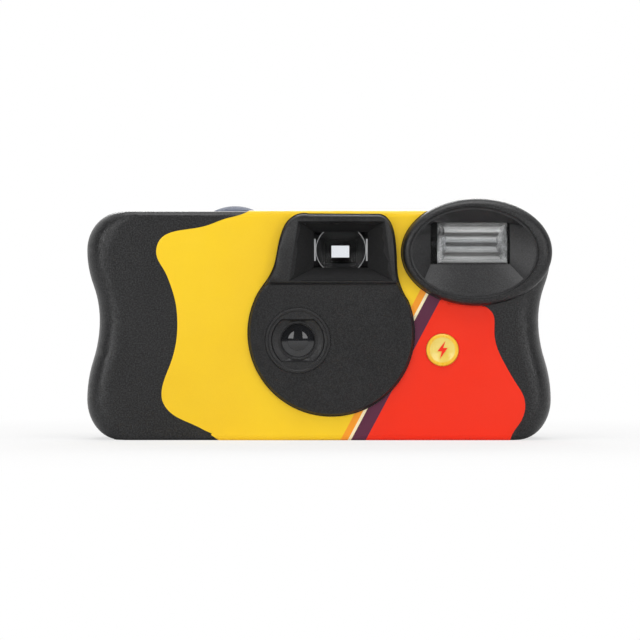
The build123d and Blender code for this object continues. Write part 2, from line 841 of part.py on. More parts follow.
def build_main_frame():
    """Black inner frame: chambers, light box, picture gate, deck and battery bay."""
    gate_left = cartridge_x + chamber_inner - frame_wall
    gate_right = supply_x - supply_inner + 2 * frame_wall
    frame = chamber(cartridge_x, cartridge_y, chamber_inner, chamber_outer, chamber_roof, chamber_roof_thick)
    frame += chamber(supply_x, supply_y, supply_inner, supply_outer, supply_roof, supply_roof_thick)
    frame += chamber(supply_x, supply_y, supply_outer / 2, supply_outer, wall, supply_floor_thick)
    frame += block((gate_left, gate_right), (gate_front, gate_rear), (wall, gate_high))
    frame += light_box()
    deck_right = finder_left() - gap
    frame += block((gate_left, deck_right), (frame_front, gate_rear), (deck_low, deck_top))
    frame += block((gate_left, deck_right), (gate_front, gate_rear), (gate_high, deck_top))
    frame += block((lens_x - shutter_plate_half_width, deck_right), (frame_front, frame_front + frame_wall),
                   (gate_high, deck_top))
    frame += battery_walls()
    frame += peg(blade_pivot_x, blade_pivot_z, blade_pin_radius, plate_rear, frame_front)
    spring_post = blade_pivot_x - blade_spring_end - blade_spring_post_radius
    frame += post(spring_post, frame_front + blade_spring_radius + seat, blade_spring_post_radius, deck_low,
                  blade_spring_z + blade_spring_radius)
    frame += lever_ears()
    frame += post(striker_x, striker_y, striker_pin_radius, deck_low,
                  striker_low + striker_thick + gap + striker_coil_height)
    frame += post(counter_x, counter_y, counter_base_radius, deck_low, counter_gear_low - gap)
    frame += post(counter_x, counter_y, counter_pin_radius, deck_low, counter_disc_low + counter_disc_thick)
    frame += peg(supply_x, board_post_z, board_post_radius, board_rear, supply_y - supply_inner)
    frame += peg(board_arm_x, board_arm_z, board_arm_radius, board_rear, gate_front)
    frame -= light_box_hollow()
    frame -= post(cartridge_x, cartridge_y, chamber_inner, wall - overrun, chamber_roof)
    frame -= post(cartridge_x, cartridge_y, thumb_key_radius + gap, chamber_roof - overrun, thumb_low)
    frame -= post(supply_x, supply_y, supply_inner, wall + supply_floor_thick, supply_roof)
    for low in (wall + supply_floor_thick, supply_roof - gap - supply_floor_thick):
        frame += post(supply_x, supply_y, supply_spool_bore - fit, low, low + supply_floor_thick + gap)
    sprocket_reach = sprocket_tooth_tip + gap
    sprocket_low = sprocket_z - sprocket_height / 2 - gap
    frame -= post(sprocket_x, sprocket_y, sprocket_reach, sprocket_low, sprocket_low + sprocket_height + 2 * gap)
    frame -= post(sprocket_x, sprocket_y, sprocket_shaft_radius + fit, deck_low - overrun, deck_top + overrun)
    return frame & across(body_outline(wall, wall), inner_front, inner_rear)


def build_finder_tunnel():
    """Black tube of the finder with the mask near its rear end."""
    front = inner_front + gap
    rear = inner_rear - overrun - gap
    tube = across(finder_rectangle(finder_wall), front, rear)
    eyepiece = Pos(finder_x, finder_z) * Rectangle(eyepiece_width, eyepiece_height)
    mask_front = gate_front
    space = loft([
        Plane.XZ.offset(-front) * finder_rectangle(0), Plane.XZ.offset(-mask_front) * eyepiece,
    ])
    space += across(eyepiece, mask_front + finder_mask_thick, rear)
    mask = Pos(finder_x, finder_z) * Rectangle(finder_mask_width, finder_mask_height)
    film_notch = block(around(finder_x, half_width), (film_y - gap, film_y + film_thick + gap),
                       (film_low, film_high + gap))
    return tube - space - across(mask, front, rear) - film_notch


def build_front_finder_lens():
    """Round finder lens cut flat above and below."""
    front = inner_front + gap + finder_front_gap
    sag = finder_lens_thick / 2
    ball = (finder_lens_radius * finder_lens_radius + sag * sag) / (2 * sag)
    blank = peg(finder_x, finder_z, finder_lens_radius, front, front + finder_lens_thick)
    blank &= across(Pos(finder_x, finder_z) * Rectangle(2 * finder_lens_radius, 2 * finder_lens_half_height),
                    front, front + finder_lens_thick)
    return blank - Pos(finder_x, front + sag - ball, finder_z) * Sphere(ball)


def build_rear_finder_lens():
    """Rectangular eyepiece with a flange behind the wall."""
    body = Pos(finder_x, finder_z) * Rectangle(eyepiece_width, eyepiece_height)
    flange = Pos(finder_x, finder_z) * Rectangle(eyepiece_width + eyepiece_frame, eyepiece_height + eyepiece_frame)
    lens = across(body, inner_rear - gap, inner_rear + eyepiece_thick)
    return lens + across(flange, inner_rear - gap - window_flange_thick, inner_rear)


def build_cartridge():
    """Shell, two caps and spool of the film cartridge."""
    inner = cartridge_radius - cartridge_skin
    shell_low = cartridge_low + cartridge_cap_thick
    shell_high = cartridge_high - cartridge_cap_thick
    shell = post(cartridge_x, cartridge_y, inner, shell_low, shell_high)
    shell -= post(cartridge_x, cartridge_y, inner - cartridge_skin, shell_low - overrun, shell_high + overrun)
    mouth_z = film_low + film_height / 2
    mouth = block((cartridge_x, cartridge_x + cartridge_radius), around(film_y + film_thick / 2, 2 * cartridge_mouth_gap),
                  around(mouth_z, cartridge_mouth_height))
    shell -= mouth
    caps = []
    for low, plate_low in ((cartridge_low, cartridge_low),
                           (cartridge_high - cartridge_cap_height, cartridge_high - cartridge_cap_thick)):
        cap = post(cartridge_x, cartridge_y, cartridge_radius, low, low + cartridge_cap_height)
        cap -= post(cartridge_x, cartridge_y, inner, low - overrun, low + cartridge_cap_height + overrun)
        cap += post(cartridge_x, cartridge_y, cartridge_radius, plate_low, plate_low + cartridge_cap_thick)
        caps.append(cap - post(cartridge_x, cartridge_y, cartridge_spool_radius + fit, low - overrun,
                               low + cartridge_cap_height + overrun))
    spool = post(cartridge_x, cartridge_y, cartridge_spool_radius, cartridge_low, spool_top)
    spool -= post(cartridge_x, cartridge_y, cartridge_spool_bore, cartridge_low - overrun, spool_top + overrun)
    spool += block(around(cartridge_x, 2 * cartridge_spool_bore + cartridge_skin), around(cartridge_y, overrun),
                   (cartridge_low + cartridge_cap_height, thumb_low - 2 * thumb_key_drop - gap))
    return shell, caps, spool


def build_thumbwheel():
    """Fluted winding wheel with the key that turns the cartridge spool."""
    wheel = post(cartridge_x, cartridge_y, thumb_radius, thumb_low, thumb_high)
    notch_radius = pi * thumb_radius / thumb_rib_count / 2
    notches = [Pos(cartridge_x, cartridge_y) * loc * Circle(notch_radius)
               for loc in PolarLocations(thumb_radius + notch_radius - thumb_rib_depth, thumb_rib_count)]
    wheel -= upright(Sketch() + notches, thumb_low - overrun, thumb_high + overrun)
    return wheel + post(cartridge_x, cartridge_y, thumb_key_radius, thumb_low - thumb_key_drop, thumb_low)


def build_supply():
    """Supply spool and the roll of unexposed film on it."""
    low = wall + supply_floor_thick + gap
    spool = post(supply_x, supply_y, supply_spool_radius, low, supply_roof - gap)
    spool -= post(supply_x, supply_y, supply_spool_bore, low - overrun, supply_roof)
    roll = post(supply_x, supply_y, roll_radius, film_low, film_high)
    roll -= post(supply_x, supply_y, supply_spool_radius, film_low - overrun, film_high + overrun)
    return spool, roll


def build_film_strip():
    """Flat run of film from the cartridge mouth to the roll."""
    left = cartridge_x + sqrt(cartridge_radius ** 2 - (film_y - cartridge_y) ** 2)
    return block((left, supply_x), (film_y, film_y + film_thick), (film_low, film_high))


def build_sprocket():
    """Toothed wheel at the film's edge with the shaft that runs up through the deck."""
    low = sprocket_z - sprocket_height / 2
    face = Circle(sprocket_body_radius)
    tooth_length = sprocket_tooth_tip - sprocket_body_radius + sprocket_tooth_width
    for loc in PolarLocations(sprocket_tooth_tip - tooth_length / 2, sprocket_tooth_count):
        face += loc * Rectangle(tooth_length, sprocket_tooth_width)
    wheel = upright(Pos(sprocket_x, sprocket_y) * face, low, low + sprocket_height)
    wheel += post(sprocket_x, sprocket_y, sprocket_shaft_radius, low, cam_low + cam_height)
    return wheel + post(sprocket_x, sprocket_y, sprocket_neck_radius, cam_low, sprocket_shaft_top)


def build_cam():
    """Notched cam that the metering lever reads, and the one tooth disc that steps the counter."""
    cam = post(sprocket_x, sprocket_y, cam_radius, cam_low, cam_low + cam_height)
    cam -= block((sprocket_x - cam_radius, sprocket_x - cam_radius + cam_notch), around(sprocket_y, cam_notch),
                 (cam_low - overrun, cam_low + cam_height + overrun))
    cam -= post(sprocket_x, sprocket_y, sprocket_shaft_radius, cam_low - overrun, cam_low + cam_height + overrun)
    drive_high = counter_gear_low + counter_gear_thick
    drive = post(sprocket_x, sprocket_y, drive_disc_radius, cam_low + cam_height, drive_high)
    drive += block((sprocket_x - drive_tooth_reach, sprocket_x), around(sprocket_y, drive_tooth_width),
                   (counter_gear_low, drive_high))
    drive -= post(sprocket_x, sprocket_y, sprocket_neck_radius, cam_low, drive_high + overrun)
    return cam + drive


def build_counter_wheel():
    """Frame counter: dial, toothed wheel and hub."""
    gear_face = Circle(counter_gear_radius)
    notch = pi * counter_gear_radius / counter_tooth_count
    notches = [loc * Rectangle(2 * counter_tooth_depth, notch)
               for loc in PolarLocations(counter_gear_radius, counter_tooth_count)]
    gear_face -= Sketch() + notches
    wheel = upright(Pos(counter_x, counter_y) * gear_face, counter_gear_low, counter_gear_low + counter_gear_thick)
    wheel += post(counter_x, counter_y, counter_hub_radius, counter_gear_low, counter_disc_low)
    dial_top = counter_disc_low + counter_disc_thick
    wheel += post(counter_x, counter_y, counter_disc_radius, counter_disc_low, dial_top)
    return wheel - post(counter_x, counter_y, counter_pin_radius + fit, counter_gear_low - overrun, dial_top + overrun)


def build_counter_window():
    """Clear round window over the counter dial."""
    middle_y = counter_y + counter_window_offset
    window = post(counter_x, middle_y, counter_window_radius, roof_z - counter_window_flange_thick,
                  height + counter_window_rise)
    return window + post(counter_x, middle_y, counter_window_radius + counter_window_flange,
                         roof_z - counter_window_flange_thick, roof_z)


def build_metering_lever():
    """Rocking lever between the release button and the cam."""
    right = lever_left + lever_width
    lever = rod(lever_y, lever_z, lever_hub_radius, lever_left, right)
    lever += block((lever_left, right), (lever_front, lever_y), (lever_z, lever_z + lever_thick))
    lever += block((lever_left, lever_left + lever_rear_width), (lever_y, lever_rear), (lever_z, lever_z + lever_thick))
    return lever - rod(lever_y, lever_z, lever_pin_radius + fit, lever_left - overrun, right + overrun)


def build_metering_spring():
    """Coil that returns the metering lever and the button."""
    left = lever_left + lever_width + gap
    coil = rod(lever_y, lever_z, lever_coil_radius, left, left + lever_coil_length)
    return coil - rod(lever_y, lever_z, lever_pin_radius + fit, left - overrun, left + lever_coil_length + overrun)


def build_striker_lever():
    """Sprung lever that knocks the shutter blade's tab."""
    top = striker_low + striker_thick
    lever = post(striker_x, striker_y, striker_hub_radius, striker_low, top)
    lever += block(around(striker_x, striker_arm_width), (striker_front, striker_y), (striker_low, top))
    return lever - post(striker_x, striker_y, striker_pin_radius + fit, striker_low - overrun, top + overrun)


def build_striker_spring():
    """Coil round the striker lever's pin."""
    low = striker_low + striker_thick + gap
    coil = post(striker_x, striker_y, striker_coil_radius, low, low + striker_coil_height)
    return coil - post(striker_x, striker_y, striker_pin_radius + fit, low - overrun, low + striker_coil_height + overrun)


def build_battery():
    """Battery cell and its terminal."""
    left = battery_x - battery_length / 2
    right = left + battery_length
    cell = rod(battery_y, battery_z, battery_radius, left, right)
    return cell, rod(battery_y, battery_z, battery_nub_radius, right, right + battery_nub)


def build_battery_contact(left):
    """Spring plate at one end of the battery."""
    return block((left, left + contact_thick), around(battery_y, contact_width), around(battery_z, contact_height))


def build_capacitor():
    """Upright flash capacitor with its rolled bead."""
    can = post(capacitor_x, capacitor_y, capacitor_radius, capacitor_low, capacitor_low + capacitor_height)
    bead_low = capacitor_low + capacitor_radius / 2
    ring = post(capacitor_x, capacitor_y, capacitor_radius + overrun, bead_low, bead_low + 2 * capacitor_bead)
    ring -= post(capacitor_x, capacitor_y, capacitor_radius - capacitor_bead, bead_low, bead_low + 2 * capacitor_bead)
    return can - ring


def build_transformer():
    """Wound coil between two flanges."""
    high = transformer_low + transformer_height
    right = transformer_left + transformer_width
    depths = (board_rear, board_rear + transformer_depth)
    coil = block((transformer_left, right), depths, (transformer_low, high))
    waist = transformer_waist
    core = block((transformer_left + waist, right - waist), (depths[0] + waist, depths[1] - waist),
                 (transformer_low, high))
    middle = block((transformer_left, right), depths,
                   (transformer_low + transformer_flange, high - transformer_flange))
    return coil - (middle - core)


def build_trigger_coil():
    """Small upright trigger coil behind the board."""
    return post(coil_x, board_rear + coil_radius, coil_radius, coil_low, coil_low + coil_height)


def build_transistor():
    """Switching transistor, flat on one side."""
    return block((transistor_left, transistor_left + transistor_width), (board_rear, board_rear + transistor_depth),
                 (transistor_low, transistor_low + transistor_height))


def build_resistors():
    """Row of small resistors behind the board."""
    return [
        post(resistor_x + number * resistor_pitch, board_rear + resistor_radius, resistor_radius, resistor_low,
             resistor_low + resistor_length)
        for number in range(resistor_count)
    ]


def build_circuit_board():
    """Flash board behind the front cover."""
    return block((board_left, board_right), (board_front, board_rear), (board_low, board_high))


def build_switch_dome():
    """Snap dome under the flash button."""
    place = Plane((flash_button_x, board_front, flash_button_z), z_dir=(0, -1, 0))
    return place * capped_disc(dome_radius, dome_height)


def build_ready_lamp():
    """Neon lamp behind the finder light pipe with its two leads down to the board."""
    lamp = peg(lamp_x, lamp_z, lamp_radius, lamp_front, lamp_front + lamp_length)
    for side in (-1, 1):
        lead_x = lamp_x + side * lamp_radius / 2
        lead_y = board_front + board_thick / 2
        lamp += post(lead_x, lead_y, lamp_lead_radius, board_high, lamp_z + lamp_lead_radius)
        lamp += peg(lead_x, lamp_z, lamp_lead_radius, lead_y, lamp_front)
    return lamp


def build_light_pipe():
    """Clear rod from the lamp to the rear face."""
    return peg(lamp_x, lamp_z, pipe_radius, lamp_front + lamp_length + gap, rear_y + pipe_rise)


def build_sync_contacts():
    """Pair of leaf contacts on the front wall of the light box."""
    return [
        block((sync_left + number * sync_pitch, sync_left + number * sync_pitch + sync_width),
              (frame_front - sync_thick, frame_front), (sync_low, sync_low + sync_length))
        for number in range(2)
    ]


def reflector_face(margin, back):
    """Mouth of the reflector, or its smaller back."""
    high = reflector_back_height if back else reflector_height
    wide = reflector_width * (reflector_back_share if back else 1)
    return Pos(window_x, window_z) * Rectangle(wide - 2 * margin, high - 2 * margin)


def build_flash_reflector():
    """Bright trough round the flash tube."""
    rear = reflector_front + reflector_depth
    outer = loft([
        Plane.XZ.offset(-reflector_front) * reflector_face(0, False),
        Plane.XZ.offset(-rear) * reflector_face(0, True),
    ])
    inner = loft([
        Plane.XZ.offset(-reflector_front) * reflector_face(reflector_wall, False),
        Plane.XZ.offset(-rear + reflector_wall) * reflector_face(reflector_wall, True),
    ])
    shell = outer - inner
    return shell - rod(tube_y(), window_z, tube_radius + seat, window_x - window_width, window_x + window_width)


def tube_y():
    """Depth of the flash tube."""
    return reflector_front + reflector_depth - tube_back


def build_flash_tube():
    """Glass flash tube and its two metal ends."""
    half = window_width / 2 + tube_reach
    tube = rod(tube_y(), window_z, tube_radius, window_x - half, window_x + half)
    ends = []
    for left in (window_x - half - tube_end_length, window_x + half):
        ends.append(rod(tube_y(), window_z, tube_radius + tube_end_rim, left, left + tube_end_length))
    return tube, ends


def build_flash_window():
    """Clear window in the flash dish with its flange behind the wall."""
    plate = across(window_face(0), inner_front - window_plate, inner_front)
    return plate + across(window_face(window_flange), inner_front, inner_front + window_flange_thick)


def main():
    """Build every piece and write it to its own file."""
    os.makedirs("parts", exist_ok=True)
    door = build_film_door()
    door_hole = door_block(door_clear)
    save("front_cover", build_front_cover() - door_hole)
    save("rear_cover", build_rear_cover() - door_hole)
    save("film_door", door)
    save("front_label", build_front_label())
    save("rear_label", build_rear_label())
    save("lens_retainer", build_retainer())
    save("taking_lens", build_taking_lens())
    save("shutter_button", build_shutter_button())
    save("flash_button", build_flash_button())
    save("counter_window", build_counter_window())
    save("finder_front_lens", build_front_finder_lens())
    save("finder_rear_lens", build_rear_finder_lens())
    save("finder_tunnel", build_finder_tunnel())
    save("flash_window", build_flash_window())
    save("main_frame", build_main_frame())
    save("shutter_plate", build_shutter_plate())
    save("shutter_blade", build_shutter_blade())
    save("blade_spring", build_blade_spring())
    save("thumbwheel", build_thumbwheel())
    shell, caps, spool = build_cartridge()
    save("cartridge_shell", shell)
    save("cartridge_lower_cap", caps[0])
    save("cartridge_upper_cap", caps[1])
    save("cartridge_spool", spool)
    supply_spool, roll = build_supply()
    save("supply_spool", supply_spool)
    save("film_roll", roll)
    save("film_strip", build_film_strip())
    save("sprocket_wheel", build_sprocket())
    save("metering_cam", build_cam())
    save("counter_wheel", build_counter_wheel())
    save("metering_lever", build_metering_lever())
    save("metering_spring", build_metering_spring())
    save("striker_lever", build_striker_lever())
    save("striker_spring", build_striker_spring())
    cell, terminal = build_battery()
    save("battery_cell", cell)
    save("battery_terminal", terminal)
    half = battery_length / 2
    save("battery_negative_contact", build_battery_contact(battery_x - half - contact_thick))
    save("battery_positive_contact", build_battery_contact(battery_x + half + battery_nub))
    save("circuit_board", build_circuit_board())
    save("main_capacitor", build_capacitor())
    save("transformer", build_transformer())
    save("trigger_coil", build_trigger_coil())
    save("transistor", build_transistor())
    save("resistors", *build_resistors())
    save("ready_lamp", build_ready_lamp())
    save("ready_light_pipe", build_light_pipe())
    save("switch_dome", build_switch_dome())
    save("sync_contacts", *build_sync_contacts())
    save("flash_reflector", build_flash_reflector())
    tube, ends = build_flash_tube()
    save("flash_tube", tube)
    save("tube_electrodes", *ends)


main()
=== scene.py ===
"""Looks of a disposable film camera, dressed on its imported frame, in metres."""

from __future__ import annotations

import logging
from dataclasses import dataclass, field
from enum import Enum
from math import acos, cos, pi, radians, sin, sqrt, tan
from typing import Iterable, Protocol

import bmesh
import bpy
from mathutils import Matrix, Vector


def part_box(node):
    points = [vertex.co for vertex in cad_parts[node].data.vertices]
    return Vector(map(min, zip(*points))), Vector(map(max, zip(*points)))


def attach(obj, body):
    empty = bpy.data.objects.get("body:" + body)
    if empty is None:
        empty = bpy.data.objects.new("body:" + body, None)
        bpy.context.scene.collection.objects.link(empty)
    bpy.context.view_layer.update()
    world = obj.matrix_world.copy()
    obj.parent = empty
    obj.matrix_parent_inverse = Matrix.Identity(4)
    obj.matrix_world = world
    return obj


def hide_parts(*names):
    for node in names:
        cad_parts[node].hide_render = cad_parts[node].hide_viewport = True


MM = 0.001
PHOTO_PIXELS = 640
MM_PER_PIXEL = 115.0 / 467.0
BAND_SCALE = 0.314
WAVE_TURN = 20
MERGE_REACH = 1e-7
CUT_REACH = 1e-8
EVEN_WEIGHT = 100
WHITE = (1, 1, 1)
LOG = logging.getLogger("film_camera")

Pair = tuple[float, float]
Triple = tuple[float, float, float]
Colour = Triple
Socket = bpy.types.NodeSocket
Mesh = bmesh.types.BMesh
Vert = bmesh.types.BMVert
Face = bmesh.types.BMFace


def tone(red: int, green: int, blue: int) -> Colour:
    """Linear colour of a display colour.

    Args:
        red: Red from 0 to 255.
        green: Green from 0 to 255.
        blue: Blue from 0 to 255.

    Returns:
        The three linear channels.
    """
    shares = [channel / 255 for channel in (red, green, blue)]
    return tuple(s / 12.92 if s <= 0.04045 else ((s + 0.055) / 1.055) ** 2.4 for s in shares)


class Lamp(Enum):
    """Soft lamps of the studio: place, power in watts, width and height of the face."""

    LEFT = ((-0.46, -1.12, 0.4), 1.75, 0.36, 0.5)
    RIGHT = ((0.46, -1.12, 0.4), 1.65, 0.36, 0.5)
    OVERHEAD = ((0.0, -0.45, 1.2), 6.0, 1.0, 0.6)
    LEFT_SIDE = ((-0.95, -0.85, 0.3), 2.6, 0.2, 0.6)
    RIGHT_SIDE = ((0.95, -0.85, 0.3), 2.1, 0.2, 0.6)
    BEHIND = ((0.0, 1.3, 0.9), 9.0, 0.9, 0.5)


class Graph:
    """Builder for the nodes of one tree."""

    def __init__(self, tree: bpy.types.NodeTree) -> None:
        """Start on a tree.

        Args:
            tree: Tree that gets the nodes.
        """
        self.tree = tree

    def feed(self, node: bpy.types.Node, feeds: dict[str | int, object]) -> None:
        """Link sockets to a node's inputs, or set the inputs' values.

        Args:
            node: The node.
            feeds: A socket or a value for each input's name or number.
        """
        for place, value in feeds.items():
            target = node.inputs[place]
            if isinstance(value, Socket):
                self.tree.links.new(value, target)
            elif target.type == "RGBA" and len(value) == 3:
                target.default_value = (*value, 1.0)
            else:
                target.default_value = value

    def add(self, kind: str, feeds: dict[str | int, object] | None = None,
            **settings: object) -> bpy.types.Node:
        """Add a node.

        Args:
            kind: Type of the node, after its prefix.
            feeds: A socket or a value for each input's name or number.
            **settings: Values of the node's own properties.

        Returns:
            The new node.
        """
        node = self.tree.nodes.new(f"ShaderNode{kind}")
        for key, value in settings.items():
            setattr(node, key, value)
        self.feed(node, feeds or {})
        return node

    def between(self, source: Socket, low: float, high: float,
                from_low: float = 0.3, from_high: float = 0.7) -> Socket:
        """Value brought to another range.

        Args:
            source: The value.
            low: Lowest result.
            high: Highest result.
            from_low: Value that gives the lowest result.
            from_high: Value that gives the highest result.

        Returns:
            The new value.
        """
        return self.add("MapRange", {"From Min": from_low, "From Max": from_high, "To Min": low,
                                     "To Max": high, "Value": source}).outputs["Result"]

    def combined(self, operation: str, first: Socket, second: Socket) -> Socket:
        """Result of a sum on two values.

        Args:
            operation: Blender's name of the sum.
            first: First value.
            second: Second value.

        Returns:
            The result.
        """
        return self.add("Math", {0: first, 1: second}, operation=operation).outputs[0]

    def looked_at(self, path: bpy.types.Node) -> Socket:
        """Whether a ray comes from the camera, or through something clear.

        Args:
            path: Node of the ray's path.

        Returns:
            One or zero.
        """
        return self.combined("MAXIMUM", path.outputs["Is Camera Ray"], path.outputs["Is Transmission Ray"])


class Nodes(Graph):
    """Builder for the nodes of one material."""

    def __init__(self, name: str) -> None:
        """Start a material with a surface shader and object coordinates.

        Args:
            name: Name of the material.
        """
        self.material = bpy.data.materials.new(name)
        self.material.use_nodes = True
        super().__init__(self.material.node_tree)
        self.tree.nodes.clear()
        self.surface = self.add("BsdfPrincipled")
        self.output = self.add("OutputMaterial", {"Surface": self.surface.outputs["BSDF"]})
        self.place = self.add("TexCoord").outputs["Object"]

    def stretched(self, along: Triple) -> Socket:
        """Object coordinates scaled along X, Y and Z."""
        return self.add("Mapping", {"Scale": along, "Vector": self.place}).outputs["Vector"]

    def noise(self, scale: float, detail: float = 2.0, roughness: float = 0.5,
              at: Socket | None = None) -> Socket:
        """Smooth noise.

        Args:
            scale: Features to a metre.
            detail: Octaves.
            roughness: Share that each octave keeps.
            at: Coordinates, or None for the object's own.

        Returns:
            The noise as a value.
        """
        return self.add("TexNoise", {"Scale": scale, "Detail": detail, "Roughness": roughness,
                                     "Vector": at or self.place}).outputs["Fac"]

    def pits(self, scale: float) -> Socket:
        """Distance to scattered points, that many to a metre."""
        return self.add("TexVoronoi", {"Scale": scale, "Vector": self.place}).outputs["Distance"]

    def bands(self, pitch: float, distortion: float, fineness: float = 1.0, middle: float = 0.0) -> Socket:
        """Waves one above another.

        Args:
            pitch: Height of one wave.
            distortion: Unevenness of the waves.
            fineness: Scale of the unevenness.
            middle: Height that the waves are counted from.

        Returns:
            The waves as a value.
        """
        scale = BAND_SCALE / pitch
        return self.add("TexWave", {"Scale": scale, "Distortion": distortion, "Detail Scale": fineness,
                                    "Phase Offset": -WAVE_TURN * scale * middle, "Vector": self.place},
                        bands_direction="Z").outputs["Fac"]

    def ramp(self, source: Socket, places: Pair, first: Colour, second: Colour) -> Socket:
        """Colours along a value.

        Args:
            source: The value.
            places: Values that give the first and the second colour.
            first: Colour of low values.
            second: Colour of high values.

        Returns:
            The colour.
        """
        node = self.add("ValToRGB", {"Fac": source})
        for element, place, colour in zip(node.color_ramp.elements, places, (first, second)):
            element.position = place
            element.color = (*colour, 1.0)
        return node.outputs["Color"]

    def mixed(self, share: Socket, first: Socket, second: Socket) -> Socket:
        """Blend of two colours.

        Args:
            share: Share of the second colour.
            first: First colour.
            second: Second colour.

        Returns:
            The blend.
        """
        return self.add("Mix", {0: share, 6: first, 7: second}, data_type="RGBA").outputs[2]

    def relief(self, height: Socket, depth: float, strength: float = 1.0,
               under: Socket | None = None) -> Socket:
        """Bump from a height.

        Args:
            height: The height as a value.
            depth: Depth of the relief in metres.
            strength: Strength of the relief.
            under: Normal of a coarser relief under it.

        Returns:
            The new normal.
        """
        feeds = {"Strength": strength, "Distance": depth, "Height": height}
        if under:
            feeds["Normal"] = under
        return self.add("Bump", feeds).outputs["Normal"]

    def set(self, **feeds: object) -> None:
        """Feed the surface shader's inputs, with their names' spaces as underscores."""
        self.feed(self.surface, {key.replace("_", " "): value for key, value in feeds.items()})

    def blend(self, share: Socket, first: Socket, second: Socket) -> Socket:
        """Blend of two shaders, by the share of the second."""
        return self.add("MixShader", {"Fac": share, 1: first, 2: second}).outputs["Shader"]


class Look(Protocol):
    """A finish that makes its own material.

    Its noises are a scale, a detail and a roughness, and its reliefs a depth and a strength.
    """

    @property
    def name(self) -> str:
        """Name of the material."""

    def build(self) -> bpy.types.Material:
        """Make the material."""


@dataclass(frozen=True)
class GrainedPlastic:
    """Moulded plastic with a spark eroded grain, paler where hands polish it."""

    name: str
    colour: Colour
    worn: Colour
    grain_size: float = 0.34 * MM
    grain_depth: float = 0.09 * MM
    roughness: float = 0.4
    polish: float = 0.08
    speckle: float = 0.5
    shine: float = 0.36
    clouds: Triple = (70, 4, 0.6)
    worn_places: Pair = (0.35, 0.75)
    fine: Pair = (3, 0.6)
    speck_places: Pair = (0.4, 0.62)
    cell_share: float = 0.8
    speck_shares: Pair = (0.6, 0.95)
    reliefs: Pair = (0.6, 0.9)

    def build(self) -> bpy.types.Material:
        """Make the material."""
        kit = Nodes(self.name)
        clouds = kit.noise(*self.clouds)
        fine = kit.noise(1 / self.grain_size, *self.fine)
        cells = kit.pits(self.cell_share / self.grain_size)
        dark = tuple(channel * (1 - self.speckle) for channel in self.colour)
        pale = tuple(channel * (1 + 2 * self.speckle) for channel in self.worn)
        kit.set(
            Base_Color=kit.mixed(kit.between(cells, *self.speck_shares),
                                 kit.ramp(clouds, self.worn_places, self.colour, self.worn),
                                 kit.ramp(fine, self.speck_places, dark, pale)),
            Roughness=kit.between(clouds, self.roughness - self.polish, self.roughness + self.polish / 2),
            Normal=kit.relief(fine, self.grain_depth, self.reliefs[1],
                              kit.relief(cells, self.grain_depth, self.reliefs[0])),
            Specular_IOR_Level=self.shine,
        )
        return kit.material


@dataclass(frozen=True)
class SatinPlastic:
    """Smooth moulded plastic with faint flow marks and fine scratches."""

    name: str
    colour: Colour
    shade: Colour
    roughness: float = 0.32
    coat: float = 0.0
    shine: float = 0.5
    flow: Triple = (260, 5, 0.55)
    flow_places: Pair = (0.3, 0.6)
    flow_relief: Pair = (0.02 * MM, 0.35)
    scratch: Triple = (900, 3, 0.7)
    scratch_lines: Triple = (1.0, 1.0, 0.06)
    scratch_relief: Pair = (0.004 * MM, 0.5)
    smoother: float = 0.08
    rougher: float = 0.1
    coat_roughness: float = 0.15

    def build(self) -> bpy.types.Material:
        """Make the material."""
        kit = Nodes(self.name)
        flow = kit.noise(*self.flow)
        scratch = kit.noise(*self.scratch, kit.stretched(self.scratch_lines))
        kit.set(
            Base_Color=kit.ramp(flow, self.flow_places, self.shade, self.colour),
            Roughness=kit.between(scratch, self.roughness - self.smoother, self.roughness + self.rougher),
            Normal=kit.relief(flow, *self.flow_relief, kit.relief(scratch, *self.scratch_relief)),
            Coat_Weight=self.coat, Coat_Roughness=self.coat_roughness, Specular_IOR_Level=self.shine,
        )
        return kit.material


@dataclass(frozen=True)
class PrintedLabel:
    """Satin printed film with a fine print rosette, slight unevenness and soft gloss."""

    name: str
    ink: Colour
    deep: Colour
    roughness: float = 0.36
    wash: Triple = (28, 3, 0.5)
    wash_places: Pair = (0.3, 0.62)
    dot_pitch: float = 0.22 * MM
    dot_shade: float = 0.93
    dot_places: Pair = (0.2, 0.5)
    dot_shares: Pair = (0.12, 0.3)
    ripple: Triple = (160, 2, 0.5)
    ripple_relief: Pair = (0.03 * MM, 0.25)
    fibre: Triple = (2600, 2, 0.6)
    fibre_relief: Pair = (0.006 * MM, 0.4)
    smoother: float = 0.05
    rougher: float = 0.07
    coat: float = 0.06
    coat_roughness: float = 0.2
    shine: float = 0.3

    def build(self) -> bpy.types.Material:
        """Make the material."""
        kit = Nodes(self.name)
        rosette = kit.pits(1 / self.dot_pitch)
        ripple = kit.noise(*self.ripple)
        dot = tuple(channel * self.dot_shade for channel in self.deep)
        kit.set(
            Base_Color=kit.mixed(kit.between(rosette, *self.dot_shares),
                                 kit.ramp(kit.noise(*self.wash), self.wash_places, self.deep, self.ink),
                                 kit.ramp(rosette, self.dot_places, dot, self.ink)),
            Roughness=kit.between(ripple, self.roughness - self.smoother, self.roughness + self.rougher),
            Normal=kit.relief(kit.noise(*self.fibre), *self.fibre_relief,
                              kit.relief(ripple, *self.ripple_relief)),
            Coat_Weight=self.coat, Coat_Roughness=self.coat_roughness, Specular_IOR_Level=self.shine,
        )
        return kit.material


